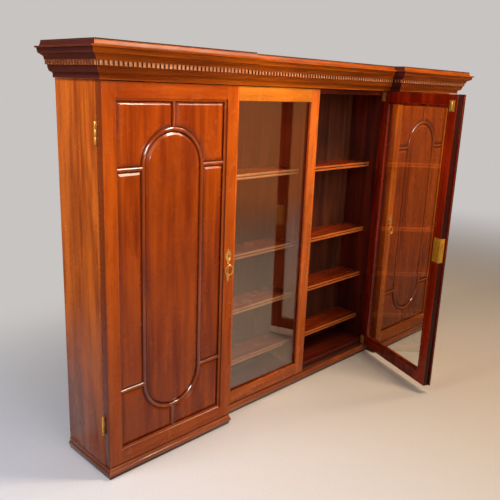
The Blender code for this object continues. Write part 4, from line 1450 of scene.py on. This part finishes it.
    def bar_ends(self) -> list[tuple[Point, Point]]:
        """Gives both ends of each bar as (x, z).

        Returns:
            The six bars' ends.
        """
        reach, opening = self.arch_radius - self.bead_radius / 4, self.opening
        ends = []
        for level, edge, sign in ((self.head, opening.top, 1), (self.foot, opening.bottom, -1)):
            ends.append(((opening.left, level), (self.middle - reach, level)))
            ends.append(((self.middle + reach, level), (opening.right, level)))
            ends.append(((self.middle, level + sign * reach), (self.middle, edge)))
        return ends

    def bar(self, start: Point, end: Point) -> Item:
        """Makes one bar as a full rod, a little slimmer than the ring.

        Args:
            start: One end as (x, z).
            end: The other end.

        Returns:
            The rod.
        """
        length = math.dist(start, end)
        level = abs(start[1] - end[1]) < TINY
        middle = ((start[0] + end[0]) / 2, self.sheet, (start[1] + end[1]) / 2)
        turn = (0, math.pi / 2, 0) if level else (0, 0, 0)
        rod = Bench.drum("bar", middle, self.bead_radius * self.bar_share, length, turn,
                         self.bead_sides)
        with Bench.shaping(rod):
            Bench.whole()
            Bench.scale(self.flatness, middle)
        return rod

    def build(self) -> None:
        """Makes and dresses the door."""
        left = self.word == "left"
        seed = 14.0 if left else 19.0
        # Painted shade on the frame's faces that look sideways.
        frame_wood = Mahogany(
            f"wing_frame_{self.word}_mahogany", Grain.FRAME,
            Mahogany.wood if left else stripes(224, 112, 16, 180, 76, 8), seed=seed,
            opening=self.opening, side_shade_share=0.7 if left else 0.1,
            behind=stripes(150, 44, 10, 98, 20, 4))
        # Painted shade, with old polish, on the sheet that the fields rise from and in the hollows.
        panel_wood = Mahogany(
            f"wing_panel_{self.word}_mahogany", wood=stripes(178, 74, 4, 130, 42, 2),
            seed=seed + 2, floor=self.sheet, hollow_reach=0.012, coat=0.22)
        bead_wood = Mahogany(
            f"wing_bead_{self.word}_mahogany", wood=stripes(170, 72, 12, 118, 40, 6),
            seed=seed + 3, polish=0.10, coat=0.9)
        for part, item, finish in (("frame", self.frame(), frame_wood),
                                   ("panel", self.panel(), panel_wood),
                                   ("beads", self.beads(), bead_wood)):
            dress(item, self.body, "mahogany", finish, f"{self.body}_{part}")


@dataclass
class GlazedDoor:
    """A glazed door: frame, pane and glazing beads."""

    word: str
    stile: float = 0.045

    def build(self) -> None:
        """Makes and dresses the door."""
        right = self.word == "right"
        body = f"glazed_door_{self.word}"
        # Painted light on the top rail and painted shade on the faces that look sideways, darkest on
        # the open door.
        wood = Mahogany(
            f"glazed_{self.word}_mahogany", Grain.FRAME, stripes(222, 110, 34, 170, 74, 20),
            seed=24.0 + 3 * right, lit_top_rail=stripes(214, 124, 34, 190, 98, 22),
            behind=stripes(164, 40, 6, 104, 16, 2), turned=right,
            opening=opening_of(f"{body}_frame", self.stile, right),
            side_shade_share=1.0 if right else 0.4, coat=0.06 if right else 0.16,
            side_shade_tone=colour(52, 9, 6) if right else colour(110, 24, 10))
        dark = Mahogany(f"glass_bead_{self.word}_mahogany", wood=stripes(150, 38, 8, 92, 16, 4),
                        seed=31.0, turned=right)
        redress(f"{body}_frame", f"glazed_frame_{self.word}", body, "mahogany", wood)
        redress(f"glazing_bead_{self.word}", f"glass_bead_{self.word}", body, "mahogany", dark)
        if right:
            redress("astragal", "meeting_strip", body, "mahogany", wood, FINE_ARRIS)
        pane = frame["nodes"][f"glass_{self.word}"]
        pane.data.materials.clear()
        pane.data.materials.append(material_of(Pane()))


@dataclass
class Fittings:
    """The brass: hinges, pivots, lock, catch, handles, rings and screws."""

    handles: tuple[str, ...] = (
        "handle_plate_wing_left", "handle_plate_wing_right", "handle_plate_glazed_right",
        "ring_pull_wing_left", "ring_pull_wing_right", "ring_pull_glazed_right")
    locks: tuple[str, ...] = ("lock_plate", "lock_bolt", "door_catch")
    brass: Brass = Brass()
    lock_brass: Brass = Brass("lock_brass", stripes(182, 132, 30, 140, 94, 12), metal=0.3,
                              rough=0.26)
    hinge_brass: Brass = Brass("hinge_brass", stripes(206, 158, 74, 120, 82, 34), metal=0.6,
                               rough=0.3)
    rim: float = 0.0008
    sinking: float = 0.0004
    door_back: float = -0.046
    lock_edge: float = 0.001
    lock_edge_middle: float = -0.058
    catch_back: float = -0.0442
    pivot_middle: float = 0.4285
    catch_screw_size: float = 0.7
    turn_step: float = 0.7
    screw_radius: float = 0.0025
    screw_rise: float = 0.0003
    screw_deep: float = 0.0012
    screw_slot: float = 0.0007
    slot_share: float = 0.3
    screw_arris: float = 0.00012
    screw_sides: int = 32
    taper: float = 0.45
    reach: float = 0.01

    def build(self) -> None:
        """Makes and dresses the brass."""
        finishes = {name: self.brass for name in self.handles}
        finishes.update({name: self.lock_brass for name in self.locks})
        for word in ("left", "right"):
            for level in ("lower", "upper"):
                for form in (f"hinge_{level}_{word}_case_leaf", f"hinge_{level}_{word}_door_leaf",
                             f"pivot_{level}_{word}"):
                    finishes[form] = self.hinge_brass
        for node, finish in finishes.items():
            item = Bench.copy_of(node, node + "_dressed")
            if node.startswith("handle_plate"):
                ahead = Vector((0.0, -1.0, 0.0))
                if node.endswith("glazed_right"):
                    ahead = OpenDoor.swing().to_3x3() @ ahead
                Bench.dish(item, ahead, self.rim, self.sinking)
            Bench.ease(item, 0.0 if node.startswith("ring") else FINE_ARRIS)
            dress(item, frame["nodes"][node]["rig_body"], "brass", finish, node)
        self.screws()

    def screw(self) -> Item:
        """Makes a countersunk screw, whose slotted head faces up from the origin.

        Returns:
            The screw.
        """
        rise, deep, half, reach = self.screw_rise, self.screw_deep, self.screw_slot / 2, self.reach
        item = Bench.drum("screw", (0.0, 0.0, (rise - deep) / 2), self.screw_radius, rise + deep,
                          (0.0, 0.0, 0.0), self.screw_sides)
        with Bench.shaping(item):
            Bench.pick(item, lambda face: face.normal.z < -0.9)
            Bench.scale((self.taper, self.taper, 1.0), (0.0, 0.0, -deep))
        Bench.cut(item, Bench.block("slot", (-reach, -half, -self.slot_share * deep),
                                  (reach, half, reach)))
        Bench.ease(item, self.screw_arris)
        return item

    def seats(self) -> list[tuple[str, Place, Place, float]]:
        """Lists the screws.

        Returns:
            Each screw's body, its place and its facing in the shut door, and its size.
        """
        left, right = "glazed_door_left", "glazed_door_right"
        inwards, sideways = (0.0, 1.0, 0.0), (-1.0, 0.0, 0.0)
        seats = [(right, (x, self.door_back, z), inwards, 1.0)
                 for x in (0.0080, 0.0290) for z in (0.5345, 0.6095)]
        seats += [(right, (self.lock_edge, self.lock_edge_middle, z), sideways, 1.0)
                  for z in (0.5360, 0.6080)]
        seats += [(right, (x, self.catch_back, z), inwards, self.catch_screw_size)
                  for x in (0.0150, 0.0330) for z in (1.0695, 1.0995)]
        seats += [(body, (x, self.door_back, z), inwards, 1.0)
                  for body, x in ((left, -self.pivot_middle), (right, self.pivot_middle))
                  for z in (0.0540, 0.0670, 1.0925, 1.1055)]
        return seats

    def screws(self) -> None:
        """Sets copies of one screw into the plates."""
        first = self.screw()
        for count, (body, place, facing, size) in enumerate(self.seats()):
            aim = Vector(facing).to_track_quat("Z", "Y").to_matrix().to_4x4()
            turn = Matrix.Rotation(self.turn_step * count, 4, "Z")
            there = Matrix.Translation(place) @ aim @ turn @ Matrix.Scale(size, 4)
            if body == "glazed_door_right":
                there = OpenDoor.swing() @ there
            item = Bench.twin(first, f"screw_{count + 1}")
            item.data.transform(there)
            dress(item, body, "brass", self.lock_brass)
        bpy.data.objects.remove(first)


@dataclass(frozen=True)
class Lamp:
    """A square soft lamp: where it hangs, what it points at, its side and its power in watts.

    Its spread is in degrees, and one that is gloss_only shows only as a gleam on polish.
    """

    name: str
    place: Place
    aim: Place
    size: float
    power: float
    tone: Colour
    spread: float = 180.0
    gloss_only: bool = False

    def hang(self) -> None:
        """Hangs the lamp."""
        bpy.ops.object.light_add(type="AREA", location=self.place)
        lamp = bpy.context.object
        lamp.name = self.name
        lamp.data.size = self.size
        lamp.data.energy = self.power
        lamp.data.color = self.tone[:3]
        lamp.data.spread = math.radians(self.spread)
        lamp.visible_diffuse = not self.gloss_only
        lamp.rotation_mode = "QUATERNION"
        way = Vector(self.aim) - Vector(self.place)
        lamp.rotation_quaternion = way.to_track_quat("-Z", "Y")


@dataclass
class Studio:
    """The pale floor and backdrop, the soft lamps and the camera."""

    eye: Place = (-1.75636, -1.4684, 1.12191)
    yaw: float = 0.79693
    pitch: float = -0.26048
    roll: float = 0.03847
    focal_pixels: float = 611.81
    picture: float = 500.0
    sensor: float = 36.0
    backdrop_colour: Colour = colour(200, 196, 194)
    room_colour: Colour = colour(228, 138, 82)
    floor_left: Colour = colour(226, 232, 248)
    floor_right: Colour = colour(184, 171, 157)
    cloth_shade: Colour = colour(150, 140, 132)
    sky: Colour = colour(235, 238, 245)
    world_light: float = 0.24
    floor_radius: float = 30.0
    floor_drop: float = 0.0005
    floor_turn: Point = (-1.8, 0.6)
    fade_round: Point = (1.6, 4.6)
    fade_behind: Point = (0.25, 1.5)
    lamps: tuple[Lamp, ...] = (
        Lamp("key", (0.32, -1.15, 2.55), (-0.3, 0.0, 0.7), 0.4, 46.0, colour(255, 232, 198)),
        Lamp("right", (1.6, -1.05, 2.5), (0.0, 0.0, 0.6), 0.35, 16.0, colour(255, 238, 212)),
        Lamp("front", (-0.9, -2.6, 1.7), (0.0, 0.0, 0.7), 1.6, 22.0, colour(255, 248, 238)),
        Lamp("narrow", (-0.75, -2.6, 1.25), (-0.38, 0.0, 1.14), 0.3, 0.5, colour(255, 246, 232),
             20.0),
        Lamp("beside_camera", (-2.2, -1.75, 2.3), (-0.6, 0.0, 0.6), 0.25, 9.0,
             colour(244, 248, 255)),
        Lamp("gleam", (-2.2, -1.75, 2.3), (-0.6, 0.0, 0.8), 0.9, 150.0, colour(255, 246, 232),
             gloss_only=True),
        Lamp("gleam_right", (0.6, -1.2, 2.65), (-0.5, 0.0, 0.6), 1.0, 70.0,
             colour(255, 238, 214), gloss_only=True),
        Lamp("window", (-2.3, 0.2, 2.4), (-0.9, 0.0, 0.9), 0.9, 34.0, colour(255, 250, 244)),
    )

    def camera(self) -> None:
        """Sets the camera where the photograph was taken."""
        forward = Vector((math.sin(self.yaw) * math.cos(self.pitch),
                          math.cos(self.yaw) * math.cos(self.pitch), math.sin(self.pitch)))
        right = Vector((math.cos(self.yaw), -math.sin(self.yaw), 0))
        up = right.cross(forward)
        side = right * math.cos(self.roll) + up * math.sin(self.roll)
        head = up * math.cos(self.roll) - right * math.sin(self.roll)
        bpy.ops.object.camera_add()
        camera = bpy.context.object
        camera.matrix_world = Matrix((
            (side.x, head.x, -forward.x, self.eye[0]), (side.y, head.y, -forward.y, self.eye[1]),
            (side.z, head.z, -forward.z, self.eye[2]), (0, 0, 0, 1)))
        camera.data.sensor_width = self.sensor
        camera.data.lens = self.focal_pixels * self.sensor / self.picture
        bpy.context.scene.camera = camera

    def backdrop(self) -> None:
        """Makes the floor, a wide cloth that fades into the backdrop's colour."""
        bpy.ops.object.select_all(action="DESELECT")
        bpy.ops.mesh.primitive_circle_add(vertices=96, radius=self.floor_radius,
                                          fill_type="NGON", location=(0, 0, -self.floor_drop))
        floor = Bench.settle("floor_cloth")
        graph = Surface("pale_floor")
        x, y, _ = graph.parts(graph.at)
        # Painted light: the floor turns from cool on the left to warm on the right.
        tone = graph.mix(graph.span(x, *self.floor_turn), self.floor_left, self.floor_right)
        cloth = graph.span(graph.noise(graph.at, 180.0, 5.0, 0.75), 0.3, 0.7, 0.0, 0.14)
        graph.looks(Base_Color=graph.mix(cloth, tone, self.cloth_shade), Roughness=0.9,
                    Specular_IOR_Level=0.1)
        far = graph.node("VectorMath", {0: graph.at}, operation="LENGTH").outputs["Value"]
        mirrored = graph.node("LightPath").outputs["Is Glossy Ray"]
        tone = graph.mix(mirrored, self.backdrop_colour, self.room_colour)
        glow = graph.node("Emission", {0: tone}).outputs[0]
        fade = graph.math("MAXIMUM", graph.span(far, *self.fade_round),
                          graph.span(y, *self.fade_behind))
        graph.feed(graph.output, {"Surface": graph.blend(fade, graph.shader.outputs[0], glow)})
        floor.data.materials.append(graph.material)

    def world(self) -> None:
        """Makes the even light from all round."""
        world = bpy.data.worlds.new("studio")
        graph = Graph(world)
        path = graph.node("LightPath")
        shown = graph.node("Background", {0: self.sky, 1: self.world_light}).outputs[0]
        for ray, tone in (("Is Glossy Ray", self.room_colour),
                          ("Is Transmission Ray", self.backdrop_colour),
                          ("Is Camera Ray", self.backdrop_colour)):
            other = graph.node("Background", {0: tone, 1: 1.0}).outputs[0]
            shown = graph.blend(path.outputs[ray], shown, other)
        graph.node("OutputWorld", {"Surface": shown})
        bpy.context.scene.world = world

    def build(self) -> None:
        """Sets up the studio."""
        self.camera()
        self.backdrop()
        self.world()
        for lamp in self.lamps:
            lamp.hang()
        bpy.context.scene.view_settings.view_transform = "Standard"


def main() -> None:
    """Builds the whole scene in order."""
    logging.basicConfig(level=logging.INFO, format="%(message)s")
    Carcass().build()
    for word in ("left", "right"):
        WingDoor(word).build()
        GlazedDoor(word).build()
    Fittings().build()
    Studio().build()


if __name__ == "__main__":
    main()
